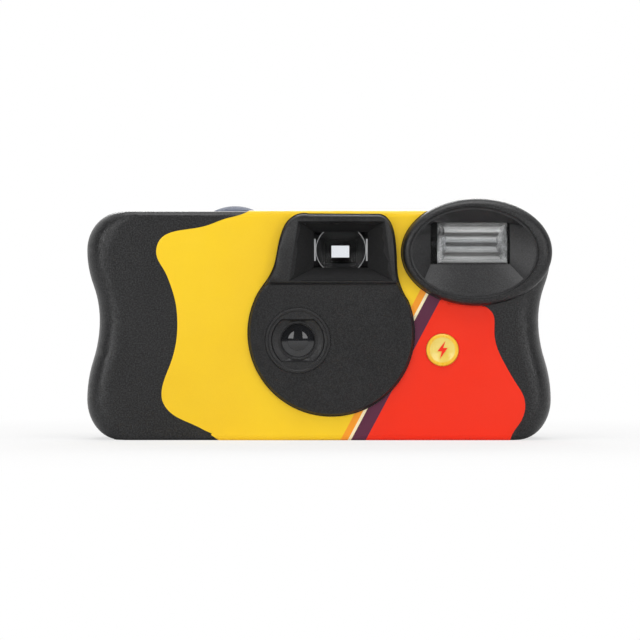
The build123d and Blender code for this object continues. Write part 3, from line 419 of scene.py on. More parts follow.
@dataclass(frozen=True)
class BareMetal:
    """Metal with brushed or rolled lines and light staining."""

    name: str
    colour: Colour
    stain: Colour
    roughness: float = 0.25
    lines: Triple = (0.05, 1.0, 1.0)
    relief: float = 0.006 * MM
    metal: float = 1.0
    brushed: Triple = (3000, 3, 0.6)
    clouds: Triple = (180, 4, 0.6)
    stain_places: Pair = (0.35, 0.6)
    rough_shares: Pair = (0.7, 1.4)
    strength: float = 0.5

    def build(self) -> bpy.types.Material:
        """Make the material."""
        kit = Nodes(self.name)
        brushed = kit.noise(*self.brushed, kit.stretched(self.lines))
        kit.set(
            Base_Color=kit.ramp(kit.noise(*self.clouds), self.stain_places, self.stain, self.colour),
            Roughness=kit.between(brushed, *(self.roughness * share for share in self.rough_shares)),
            Normal=kit.relief(brushed, self.relief, self.strength),
            Metallic=self.metal,
        )
        return kit.material


@dataclass(frozen=True)
class FlutedFoil:
    """Bright foil rolled into flutes along X, with painted shade in a band under each ridge."""

    name: str
    colour: Colour
    shade: Colour
    pitch: float
    ridge: float
    roughness: float = 0.28
    metal: float = 0.2
    distortion: float = 0.6
    fineness: float = 0.5
    shade_band_places: Pair = (0.12, 0.72)
    rolled: Triple = (3000, 3, 0.6)
    lines: Triple = (0.05, 1.0, 1.0)
    rough_shares: Pair = (0.7, 1.4)

    def build(self) -> bpy.types.Material:
        """Make the material."""
        kit = Nodes(self.name)
        flutes = kit.bands(self.pitch, self.distortion, self.fineness, self.ridge)
        rolled = kit.noise(*self.rolled, kit.stretched(self.lines))
        # Painted shade: the foil's colour darkens in a band under each flute's ridge.
        kit.set(
            Base_Color=kit.ramp(flutes, self.shade_band_places, self.shade, self.colour),
            Roughness=kit.between(rolled, *(self.roughness * share for share in self.rough_shares)),
            Metallic=self.metal,
        )
        return kit.material


@dataclass(frozen=True)
class ThinClear:
    """Thin clear plastic that lets light through and mirrors it at a slant, alike on both faces."""

    name: str
    tint: Colour
    roughness: float = 0.03
    mirror: float = 1.49
    smear: Triple = (420, 4, 0.6)
    smear_share: float = 3

    def build(self) -> bpy.types.Material:
        """Make the material."""
        kit = Nodes(self.name)
        kit.tree.nodes.remove(kit.surface)
        through = kit.add("BsdfTransparent", {"Color": self.tint})
        rough = kit.between(kit.noise(*self.smear), self.roughness, self.roughness * self.smear_share)
        gloss = kit.add("BsdfGlossy", {"Roughness": rough})
        side = kit.add("NewGeometry").outputs["Backfacing"]
        edge = kit.add("Fresnel", {"IOR": kit.between(side, self.mirror, 1 / self.mirror, 0.0, 1.0)})
        kit.feed(kit.output, {"Surface": kit.blend(edge.outputs["Fac"], through.outputs["BSDF"],
                                                   gloss.outputs["BSDF"])})
        return kit.material


@dataclass(frozen=True)
class CoatedLens:
    """Opaque coated lens whose colour is the dark chamber behind it: partly the black parts' own colour,
    partly painted shade.
    """

    name: str
    chamber_shade: Colour
    bloom: Colour
    roughness: float = 0.05
    haze: Triple = (160, 3, 0.5)
    haze_places: Pair = (0.3, 0.75)
    haze_share: float = 1.2
    index: float = 1.6
    shine: float = 0.5

    def build(self) -> bpy.types.Material:
        """Make the material."""
        kit = Nodes(self.name)
        haze = kit.noise(*self.haze)
        # The dark base colour is the black parts behind the lens with painted shade of its chamber, on an
        # opaque lens.
        kit.set(
            Base_Color=kit.ramp(haze, self.haze_places, self.chamber_shade, self.bloom),
            Roughness=kit.between(haze, self.roughness, self.roughness * self.haze_share),
            IOR=self.index, Specular_IOR_Level=self.shine,
        )
        return kit.material


@dataclass(frozen=True)
class CircuitLaminate:
    """Green board with copper tracks under lacquer."""

    name: str
    lacquer: Colour
    track: Colour
    tracks_scale: float = 240
    track_width: float = 0.08
    track_depth: float = 0.03 * MM
    grime: Pair = (500, 3)
    grime_places: Pair = (0.3, 0.7)
    grime_shares: Pair = (0.0, 0.3)
    roughness: float = 0.3

    def build(self) -> bpy.types.Material:
        """Make the material."""
        kit = Nodes(self.name)
        tracks = kit.add("TexBrick", {"Scale": self.tracks_scale, "Mortar Size": self.track_width,
                                      "Color1": self.lacquer, "Color2": self.lacquer,
                                      "Mortar": self.track, "Vector": kit.place}).outputs
        grime = kit.noise(*self.grime)
        kit.set(
            Base_Color=kit.mixed(kit.between(grime, *self.grime_shares), tracks["Color"],
                                 kit.ramp(grime, self.grime_places, self.lacquer, self.track)),
            Normal=kit.relief(tracks["Fac"], self.track_depth), Roughness=self.roughness,
        )
        return kit.material


@dataclass(frozen=True)
class Winding:
    """Fine turns of lacquered wire or film, one above another."""

    name: str
    wire: Colour
    groove: Colour
    pitch: float = 0.2 * MM
    roughness: float = 0.3
    metallic: float = 0.0
    distortion: float = 0.2
    groove_places: Pair = (0.1, 0.6)
    groove_depth: float = 0.05 * MM

    def build(self) -> bpy.types.Material:
        """Make the material."""
        kit = Nodes(self.name)
        turns = kit.bands(self.pitch, self.distortion)
        kit.set(
            Base_Color=kit.ramp(turns, self.groove_places, self.groove, self.wire),
            Normal=kit.relief(turns, self.groove_depth),
            Roughness=self.roughness, Metallic=self.metallic,
        )
        return kit.material


BLACK_GRAIN = GrainedPlastic("black_grained_plastic", tone(20, 20, 21), tone(24, 24, 25), 0.36 * MM,
                             0.045 * MM, 0.36, speckle=1.0, shine=0.45)
BLACK_PANEL = GrainedPlastic("black_panel_plastic", tone(26, 26, 27), tone(30, 30, 31), 0.26 * MM,
                             0.02 * MM, 0.36, speckle=0.5)
BLACK_DISH = GrainedPlastic("black_dish_plastic", tone(36, 36, 37), tone(41, 41, 42), 0.26 * MM,
                            0.02 * MM, 0.36, speckle=0.3)
BLACK_FINE = GrainedPlastic("black_fine_plastic", tone(26, 26, 27), tone(34, 34, 35), 0.2 * MM,
                            0.03 * MM, 0.4)
MATT_BLACK = GrainedPlastic("matt_black_moulding", tone(14, 14, 15), tone(20, 20, 21), 0.2 * MM,
                            0.02 * MM, 0.7)
SATIN_BLACK = SatinPlastic("satin_black_plastic", tone(24, 24, 25), tone(17, 17, 18), 0.28, 0.2)
BUTTON_BLUE = SatinPlastic("blue_grey_plastic", tone(96, 103, 121), tone(80, 87, 104), 0.5, shine=0.05)
BUTTON_YELLOW = SatinPlastic("yellow_plastic", tone(246, 196, 44), tone(240, 184, 34), 0.3, 0.3)
BUTTON_CREAM = SatinPlastic("cream_yellow_plastic", tone(238, 216, 110), tone(236, 204, 84), 0.22, 0.5)
# Pale grey: painted highlight on the finder lens's edge arcs, also used for its holder's side bars.
LENS_EDGE_HIGHLIGHT = SatinPlastic("lens_edge_painted_highlight", tone(206, 208, 210), tone(168, 170, 172), 0.2, 0.4)
WHITE_PLASTIC = SatinPlastic("white_acetal", tone(214, 214, 208), tone(200, 200, 194), 0.4)
YELLOW_INK = PrintedLabel("yellow_print", tone(247, 206, 32), tone(240, 195, 32))
RED_INK = PrintedLabel("red_orange_print", tone(241, 44, 8), tone(234, 36, 6))
PLUM_INK = PrintedLabel("plum_print", tone(92, 40, 66), tone(82, 34, 58))
CREAM_INK = PrintedLabel("cream_print", tone(252, 238, 196), tone(246, 230, 186))
AMBER_INK = PrintedLabel("amber_print", tone(248, 158, 40), tone(242, 148, 34))
PAPER_EDGE = PrintedLabel("cut_label_edge", tone(236, 228, 206), tone(220, 210, 184), 0.7)
BRIGHT_PLATE = BareMetal("bright_plating", tone(240, 241, 243), tone(224, 226, 230), 0.12, (1.0, 1.0, 0.05))
SPRING_STEEL = BareMetal("spring_steel", tone(176, 178, 182), tone(140, 142, 148), 0.3)
TIN_PLATE = BareMetal("tin_plate", tone(190, 190, 188), tone(160, 160, 158), 0.25)
REFLECTOR_FOIL = FlutedFoil("reflector_foil_painted_shade", tone(255, 255, 253), tone(120, 119, 117), 2.45 * MM, 48.4 * MM)
REFLECTOR_END = BareMetal("crinkled_foil", tone(255, 255, 255), tone(70, 70, 70), 0.22, (1.0, 1.0, 1.0),
                          0.12 * MM, 0.5)
CONTACT_BRASS = BareMetal("contact_brass", tone(204, 170, 96), tone(170, 132, 66), 0.28)
BLUED_STEEL = BareMetal("blackened_steel", tone(58, 58, 62), tone(40, 40, 44), 0.42)
CLEAR_WINDOW = ThinClear("clear_window", (0.95, 0.955, 0.96), 0.08, 1.4)
FINDER_CLEAR = ThinClear("finder_clear", (0.94, 0.95, 0.96), 0.08, 1.22)
NEON_CLEAR = ThinClear("neon_glass", (0.98, 0.72, 0.55), 0.04)
LENS_CLEAR = CoatedLens("coated_lens", tone(24, 24, 25), tone(30, 31, 34))
BOARD_GREEN = CircuitLaminate("circuit_laminate", tone(30, 84, 48), tone(64, 122, 74))
FILM_BASE = Winding("film_base", tone(96, 62, 58), tone(58, 36, 34), 0.3 * MM, 0.22)
COPPER_WIRE = Winding("copper_winding", tone(176, 96, 48), tone(96, 46, 20), 0.18 * MM, 0.3, 0.6)
TAPE_WINDING = Winding("taped_winding", tone(214, 170, 62), tone(170, 126, 36), 0.9 * MM)
CELL_JACKET = Winding("cell_jacket", tone(52, 54, 60), tone(40, 42, 48), 6.0 * MM, 0.26, 0.4)
CARTRIDGE_PRINT = Winding("cartridge_print", tone(232, 176, 48), tone(214, 150, 36), 4.0 * MM, 0.3, 0.3)
SLEEVE_BLACK = SatinPlastic("shrink_sleeve", tone(26, 28, 34), tone(20, 21, 26), 0.25, 0.3)
RESISTOR_TAN = SatinPlastic("resistor_lacquer", tone(198, 170, 120), tone(176, 148, 100), 0.3)
LABEL_LOOKS = (YELLOW_INK, AMBER_INK, CREAM_INK, PLUM_INK, RED_INK, PAPER_EDGE)
RED_FIELD = LABEL_LOOKS.index(RED_INK)
CUT_EDGE = LABEL_LOOKS.index(PAPER_EDGE)

NODES_OF = {
    BLACK_GRAIN: ("front_cover", "rear_cover", "film_door"),
    YELLOW_INK: ("front_label", "rear_label"),
    BLACK_FINE: ("lens_retainer", "thumbwheel"),
    LENS_CLEAR: ("taking_lens",),
    BUTTON_BLUE: ("shutter_button",),
    BUTTON_YELLOW: ("flash_button",),
    CLEAR_WINDOW: ("counter_window", "flash_window", "ready_light_pipe", "flash_tube"),
    FINDER_CLEAR: ("finder_front_lens", "finder_rear_lens"),
    MATT_BLACK: ("finder_tunnel", "main_frame", "shutter_plate"),
    BLUED_STEEL: ("shutter_blade", "cartridge_lower_cap", "cartridge_upper_cap"),
    SPRING_STEEL: ("blade_spring", "metering_spring", "striker_spring", "battery_negative_contact",
                   "battery_positive_contact", "switch_dome"),
    CARTRIDGE_PRINT: ("cartridge_shell",),
    SATIN_BLACK: ("cartridge_spool", "supply_spool", "metering_lever", "striker_lever", "transistor"),
    FILM_BASE: ("film_roll", "film_strip"),
    WHITE_PLASTIC: ("sprocket_wheel", "metering_cam", "counter_wheel"),
    CELL_JACKET: ("battery_cell",),
    TIN_PLATE: ("battery_terminal", "tube_electrodes"),
    BOARD_GREEN: ("circuit_board",),
    SLEEVE_BLACK: ("main_capacitor",),
    TAPE_WINDING: ("transformer",),
    COPPER_WIRE: ("trigger_coil",),
    RESISTOR_TAN: ("resistors",),
    NEON_CLEAR: ("ready_lamp",),
    CONTACT_BRASS: ("sync_contacts",),
    BRIGHT_PLATE: ("flash_reflector",),
}
MADE: dict[str, bpy.types.Material] = {}


def finish(look: Look) -> bpy.types.Material:
    """Material of a finish, made once.

    Args:
        look: The finish.

    Returns:
        Its material.
    """
    if look.name not in MADE:
        MADE[look.name] = look.build()
    return MADE[look.name]


@dataclass
class Piece:
    """One modelled piece while its mesh is being made."""

    name: str
    body: str = "camera_body"
    replaced: tuple[str, ...] = ()
    smooth_angle: float = 32.0
    mesh: Mesh = field(default_factory=bmesh.new)

    def place(self, looks: Iterable[Look]) -> None:
        """Turn the mesh into an object that rides on its body.

        Args:
            looks: Finishes in the order of the faces' material numbers.
        """
        data = bpy.data.meshes.new(self.name)
        self.mesh.to_mesh(data)
        self.mesh.free()
        for look in looks:
            data.materials.append(finish(look))
        data.shade_smooth()
        data.set_sharp_from_angle(angle=radians(self.smooth_angle))
        piece = bpy.data.objects.new(self.name, data)
        bpy.context.scene.collection.objects.link(piece)
        shading = piece.modifiers.new("even_shading", "WEIGHTED_NORMAL")
        shading.keep_sharp = True
        shading.weight = EVEN_WEIGHT
        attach(piece, self.body)
        if self.replaced:
            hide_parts(*self.replaced)
        LOG.info("%s: %d faces on %s", self.name, len(data.polygons), self.body)

    def outward(self) -> None:
        """Merge doubles and turn every face outwards."""
        bmesh.ops.remove_doubles(self.mesh, verts=self.mesh.verts, dist=MERGE_REACH)
        bmesh.ops.recalc_face_normals(self.mesh, faces=self.mesh.faces)

    def thicken(self, wall: float) -> None:
        """Give an open skin that faces the front its wall behind it.

        Args:
            wall: Thickness of the wall.
        """
        if sum(face.normal.y * face.calc_area() for face in self.mesh.faces) > 0:
            bmesh.ops.reverse_faces(self.mesh, faces=self.mesh.faces)
        bmesh.ops.solidify(self.mesh, geom=self.mesh.faces[:], thickness=wall)
        self.outward()


def copy_of(node: str) -> Mesh:
    """Copy of a node's mesh with its loose triangles joined.

    Args:
        node: Name of the node.

    Returns:
        The joined mesh.
    """
    mesh = bmesh.new()
    mesh.from_mesh(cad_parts[node].data)
    for layer in list(mesh.loops.layers.uv):
        mesh.loops.layers.uv.remove(layer)
    bmesh.ops.remove_doubles(mesh, verts=mesh.verts, dist=2 * MERGE_REACH)
    for face in mesh.faces:
        face.material_index = 0
    return mesh


def cut(mesh: Mesh, point: Vector, normal: Vector) -> None:
    """Cut every face of a mesh along a plane and keep both sides.

    Args:
        mesh: The mesh.
        point: A point on the plane.
        normal: The plane's normal.
    """
    everything = mesh.verts[:] + mesh.edges[:] + mesh.faces[:]
    bmesh.ops.bisect_plane(mesh, geom=everything, dist=CUT_REACH, plane_co=point, plane_no=normal)


def loops(mesh: Mesh, rings: list[list[Vert]]) -> list[Face]:
    """Join rings of as many points each with bands of faces.

    Args:
        mesh: The mesh.
        rings: The rings in order.

    Returns:
        The new faces.
    """
    faces = []
    for near, far in zip(rings, rings[1:]):
        for step, vert in enumerate(near):
            after = (step + 1) % len(near)
            faces.append(mesh.faces.new((vert, near[after], far[after], far[step])))
    return faces


def oval_point(centre: Pair, half: Pair, angle: float, y: float) -> Triple:
    """Point of an oval around a line along Y.

    Args:
        centre: Place of the line in X and Z.
        half: Half width and half height of the oval.
        angle: Turn from the right, in radians.
        y: Depth of the oval.

    Returns:
        The point.
    """
    return centre[0] + half[0] * cos(angle), y, centre[1] + half[1] * sin(angle)


def circle_ring(mesh: Mesh, centre: Pair, reach: float, y: float, steps: int,
                flat: float | None = None) -> list[Vert]:
    """Ring of points around a line along Y.

    Args:
        mesh: Mesh that gets the points.
        centre: Place of the line in X and Z.
        reach: Radius of the ring.
        y: Depth of the ring.
        steps: Number of points.
        flat: Height of the flats above and below, or None for a full circle.

    Returns:
        The ring's points.
    """
    points = []
    for step in range(steps):
        angle = 2 * pi * step / steps
        up = reach * sin(angle)
        if flat is not None:
            up = max(-flat, min(flat, up))
        points.append(mesh.verts.new((centre[0] + reach * cos(angle), y, centre[1] + up)))
    return points


def spun(mesh: Mesh, profile: list[Pair], centre: Pair, steps: int) -> None:
    """Turn a profile full circle about a line along Y.

    Args:
        mesh: Mesh that gets the surface.
        profile: Distances from the line and places along Y.
        centre: Place of the line in X and Z.
        steps: Steps of the full circle.
    """
    verts = [mesh.verts.new((centre[0] + reach, y, centre[1])) for reach, y in profile]
    edges = [mesh.edges.new(pair) for pair in zip(verts, verts[1:])]
    bmesh.ops.spin(mesh, geom=verts + edges, cent=(centre[0], 0, centre[1]), axis=(0, 1, 0), dvec=(0, 0, 0),
                   angle=2 * pi, steps=steps, use_merge=True)
    bmesh.ops.remove_doubles(mesh, verts=mesh.verts, dist=MERGE_REACH)


@dataclass
class Covers:
    """Front and rear shells with a fine groove along their seam."""

    seam_width: float = 0.25 * MM
    seam_depth: float = 0.22 * MM
    seam_reach: float = 1e-6
    seam_flat: float = 48 * MM
    steep: float = 0.5
    heart: float = 28 * MM
    rear_cuts_aside: tuple[float, ...] = (-2.0 * MM, 12.8 * MM)
    rear_cuts_up: tuple[float, ...] = (41.4 * MM, 52.6 * MM)
    panel_centre: Pair = (3.0 * MM, 26.5 * MM)
    panel_reach: float = 20.7 * MM
    panel_back: float = -15.6 * MM
    hood_reach: float = 16.6 * MM
    mouth_centre: Pair = (5.4 * MM, 47.0 * MM)
    mouth_front: float = -19.0 * MM
    mouth_back: float = -14.1 * MM
    mouth_top: float = 6.3 * MM
    mouth_foot: float = 7.4 * MM
    mouth_top_reach: float = 9.95 * MM
    mouth_foot_reach: float = 11.8 * MM
    throat_reach: float = 6.75 * MM
    throat_rise: float = 4.5 * MM
    mouth_slack: float = 0.1 * MM
    mouth_behind: float = 2 * MM
    mouth_depths: Pair = (-0.01, 0.99)
    mouth_growth: tuple[float, float, float] = (0.08, 0.1, 0.055)
    hood_base: float = 38.2 * MM
    hood_slope: float = 0.24
    hood_fall: float = 0.85 * MM
    hood_front: Pair = (-0.01 * MM, MM)
    bezel_share: float = 1.01
    bezel_skip: float = 0.2 * MM

    def shell(self, node: str, side: float) -> None:
        """Dress one shell.

        Args:
            node: Name of the shell's node.
            side: Direction of the shell from the seam along Y.
        """
        piece = Piece(f"{node}_shell", replaced=(node,), smooth_angle=23)
        piece.mesh = copy_of(node)
        low, high = (Vector(corner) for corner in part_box(node))
        middle = (low + high) / 2
        cut(piece.mesh, Vector((0, side * self.seam_width, 0)), Vector((0, 1, 0)))
        for vert in piece.mesh.verts:
            if abs(vert.co.y) > self.seam_reach:
                continue
            if any(abs(face.normal.y) < self.steep and self.faces_out(face) for face in vert.link_faces):
                inward = Vector((middle.x - vert.co.x, 0, self.heart - vert.co.z))
                if abs(vert.co.x) < self.seam_flat:
                    inward.x = 0
                vert.co += inward.normalized() * self.seam_depth
        if side > 0:
            for aside in self.rear_cuts_aside:
                cut(piece.mesh, Vector((aside, 0, 0)), Vector((1, 0, 0)))
            for up in self.rear_cuts_up:
                cut(piece.mesh, Vector((0, 0, up)), Vector((0, 0, 1)))
        else:
            self.open_mouth(piece.mesh)
            self.mark_panel(piece.mesh)
            self.slope_hood(piece.mesh)
            self.lower_bezel(piece.mesh)
        piece.place([BLACK_GRAIN, BLACK_PANEL, MATT_BLACK])

    def mark_panel(self, mesh: Mesh) -> None:
        """Give the lens panel and the hood their finer grain.

        Args:
            mesh: Mesh of the front shell.
        """
        for face in mesh.faces:
            middle = face.calc_center_median()
            aside = Vector((middle.x - self.panel_centre[0], middle.z - self.panel_centre[1]))
            inside = aside.length < self.panel_reach or (abs(aside.x) < self.hood_reach and aside.y > 0)
            if middle.y < self.panel_back and inside:
                face.material_index = 1
            right = middle.x - self.mouth_centre[0]
            up = middle.z - self.mouth_centre[1]
            in_mouth = abs(right) < self.mouth_half(up) and -self.mouth_foot < up < self.mouth_top
            front = self.mouth_front + self.mouth_slack
            if in_mouth and front < middle.y < self.mouth_back + self.mouth_behind:
                face.material_index = 2

    def half_at(self, share: float) -> float:
        """Half width of the unflared mouth at its front.

        Args:
            share: Share of the way from the mouth's top to its foot.

        Returns:
            The half width.
        """
        return self.mouth_top_reach + (self.mouth_foot_reach - self.mouth_top_reach) * share

    def mouth_half(self, up: float) -> float:
        """Half width of the unflared mouth at its front, at a height over the finder's middle."""
        return self.half_at((self.mouth_top - up) / (self.mouth_top + self.mouth_foot))

    def slope_hood(self, mesh: Mesh) -> None:
        """Let the hood's front fall back from its mouth towards its sides.

        Args:
            mesh: Mesh of the front shell.
        """
        aside, above, _ = self.mouth_growth
        for vert in mesh.verts:
            on_front = self.hood_front[0] < vert.co.y - self.mouth_front < self.hood_front[1]
            over_panel = abs(vert.co.x - self.panel_centre[0]) < self.hood_reach
            if on_front and over_panel and vert.co.z > self.hood_base:
                up = vert.co.z - self.mouth_centre[1]
                beside = abs(vert.co.x - self.mouth_centre[0]) - self.mouth_half(up) * (1 + aside)
                away = max(beside, up - self.mouth_top * (1 + above), 0.0)
                vert.co.y += min(away * self.hood_slope, self.hood_fall)

    def lower_bezel(self, mesh: Mesh) -> None:
        """Set the flash hump's front back, to make room for its rounded bezel.

        Args:
            mesh: Mesh of the front shell.
        """
        centre, half = FlashHead.bezel_centre, FlashHead.bezel_half
        for vert in mesh.verts:
            away = Vector(((vert.co.x - centre[0]) / half[0], (vert.co.z - centre[1]) / half[1])).length
            if vert.co.y < FlashHead.bezel_back - self.bezel_skip and away < self.bezel_share:
                vert.co.y = FlashHead.bezel_back

    def open_mouth(self, mesh: Mesh) -> None:
        """Flare the finder hood's mouth, most at its front edge.

        Args:
            mesh: Mesh of the front shell.
        """
        aside, above, below = self.mouth_growth
        for vert in mesh.verts:
            depth = (vert.co.y - self.mouth_front) / (self.mouth_back - self.mouth_front)
            if not self.mouth_depths[0] < depth < self.mouth_depths[1]:
                continue
            right = vert.co.x - self.mouth_centre[0]
            up = vert.co.z - self.mouth_centre[1]
            top = self.mouth_top + (self.throat_rise - self.mouth_top) * depth
            foot = self.mouth_foot + (self.throat_rise - self.mouth_foot) * depth
            front_reach = self.half_at((top - up) / (top + foot))
            reach = front_reach + (self.throat_reach - front_reach) * depth
            slack = self.mouth_slack
            if abs(right) < reach + slack and -foot - slack < up < top + slack:
                near = 1 - depth
                vert.co.x += right * aside * near
                vert.co.z += up * (above if up > 0 else below) * near

    def faces_out(self, face: Face) -> bool:
        """Whether a face of the seam belongs to the outside of the shell."""
        centre = face.calc_center_median()
        return face.normal.dot(Vector((centre.x, 0, centre.z - self.heart))) > 0

    def build(self) -> None:
        """Dress both shells."""
        self.shell("front_cover", -1)
        self.shell("rear_cover", 1)


@dataclass
class WrapLabel:
    """Front label, printed in slanted stripes between a yellow and a red field."""

    slant: float = 28.0
    foot: Pair = (11.5 * MM, 2.0 * MM)
    edges: tuple[float, ...] = (-4.6 * MM, -3.0 * MM, -2.3 * MM, 0.9 * MM)
    flat_front: float = 15.2 * MM
    edge_share: float = 0.35
    edge_heights: Pair = (1.6 * MM, 54.8 * MM)
    front: float = -15.69 * MM
    back: float = -15.5 * MM
    corner_line: tuple[tuple[float, float], ...] = ((-22.6 * MM, 0.0), (-25.6 * MM, 1.35 * MM))
    corner_reach: float = -20.0 * MM
    corner_side: float = -1.0
    collar_centre: Pair = (30.4 * MM, 22.3 * MM)
    collar_inner: float = 4.06 * MM
    collar_outer: float = 4.45 * MM
    collar_steps: int = 96
    hem_reach: Pair = (30.2 * MM, 40.2 * MM)
    hem_inset: float = -0.4 * MM
    hem_width: float = 1.6 * MM
    hem_steps: int = 40

    def across(self, point: Vector) -> float:
        """Distance of a point to the right of the stripes' own line."""
        lean = radians(self.slant)
        return (point.x - self.foot[0]) * cos(lean) - (point.z - self.foot[1]) * sin(lean)

    def is_cut_edge(self, face: Face) -> bool:
        """Whether a face is the label's cut edge and not its print."""
        centre = face.calc_center_median()
        on_front = centre.y < -self.flat_front and self.edge_heights[0] < centre.z < self.edge_heights[1]
        return abs(face.normal.x) > self.edge_share or (on_front and abs(face.normal.y) < self.edge_share)

    def build(self) -> None:
        """Cut the print's fields into a copy of the label."""
        piece = Piece("printed_front_label", replaced=("front_label",), smooth_angle=30)
        piece.mesh = copy_of("front_label")
        lean = radians(self.slant)
        normal = Vector((cos(lean), 0, -sin(lean)))
        start = Vector((self.foot[0], 0, self.foot[1]))
        for edge in self.edges:
            cut(piece.mesh, start + normal * edge, normal)
        for face in piece.mesh.faces:
            where = self.across(face.calc_center_median())
            face.material_index = sum(where > edge for edge in self.edges)
            if self.is_cut_edge(face):
                face.material_index = CUT_EDGE
        self.trim_corner(piece.mesh)
        self.collar(piece.mesh)
        self.under_hump(piece.mesh)
        piece.place(LABEL_LOOKS)

    def trim_corner(self, mesh: Mesh) -> None:
        """Cut the lower left corner straight down to the floor edge."""
        foot, shoulder = (Vector((x, 0, z)) for x, z in self.corner_line)
        normal = (foot - shoulder).cross(Vector((0, 1, 0)))
        near = [face for face in mesh.faces if face.calc_center_median().x < self.corner_reach]
        around = {item for face in near for item in (*face.verts, *face.edges)}
        bmesh.ops.bisect_plane(mesh, geom=near + list(around), dist=CUT_REACH, plane_co=foot, plane_no=normal)
        gone = [face for face in mesh.faces if face.calc_center_median().x < self.corner_reach
                and (face.calc_center_median() - foot).dot(normal) * self.corner_side > 0]
        bmesh.ops.delete(mesh, geom=gone, context="FACES")

    def section(self, inner: float, outer: float) -> tuple[Pair, ...]:
        """Corners of a strip's section, as reach and depth, round from its inner front."""
        return (inner, self.front), (outer, self.front), (outer, self.back), (inner, self.back)

    def collar(self, mesh: Mesh) -> None:
        """Carry the print close up to the flash button."""
        rings = [circle_ring(mesh, self.collar_centre, reach, y, self.collar_steps)
                 for reach, y in self.section(self.collar_inner, self.collar_outer)]
        for face in loops(mesh, rings + rings[:1]):
            face.material_index = RED_FIELD

    def under_hump(self, mesh: Mesh) -> None:
        """Carry the red print up to the flash hump, where the cut leaves a chink."""
        centre, half = FlashHead.bezel_centre, FlashHead.bezel_half
        left, right = (-acos((reach - centre[0]) / half[0]) for reach in self.hem_reach)
        rows = []
        for step in range(self.hem_steps + 1):
            turn = left + (right - left) * step / self.hem_steps
            rows.append([mesh.verts.new(oval_point(centre, (half[0] + reach, half[1] + reach), turn, y))
                         for reach, y in self.section(self.hem_inset, self.hem_inset + self.hem_width)])
        for face in loops(mesh, rows):
            face.material_index = RED_FIELD
        for row in (rows[0], rows[-1]):
            mesh.faces.new(row).material_index = RED_FIELD


@dataclass
class BackLabel:
    """Rear label with the same slanted stripes."""

    slant: float = 28.0
    edges: tuple[float, ...] = (12 * MM, 14 * MM, 15 * MM, 18 * MM)
    edge_share: float = 0.5

    def build(self) -> None:
        """Cut the print's fields into a copy of the label."""
        piece = Piece("printed_rear_label", replaced=("rear_label",))
        piece.mesh = copy_of("rear_label")
        lean = radians(self.slant)
        normal = Vector((cos(lean), 0, sin(lean)))
        for edge in self.edges:
            cut(piece.mesh, normal * edge, normal)
        for face in piece.mesh.faces:
            where = face.calc_center_median().dot(normal)
            face.material_index = sum(where > edge for edge in self.edges)
            if abs(face.normal.y) < self.edge_share:
                face.material_index = CUT_EDGE
        piece.place(LABEL_LOOKS)


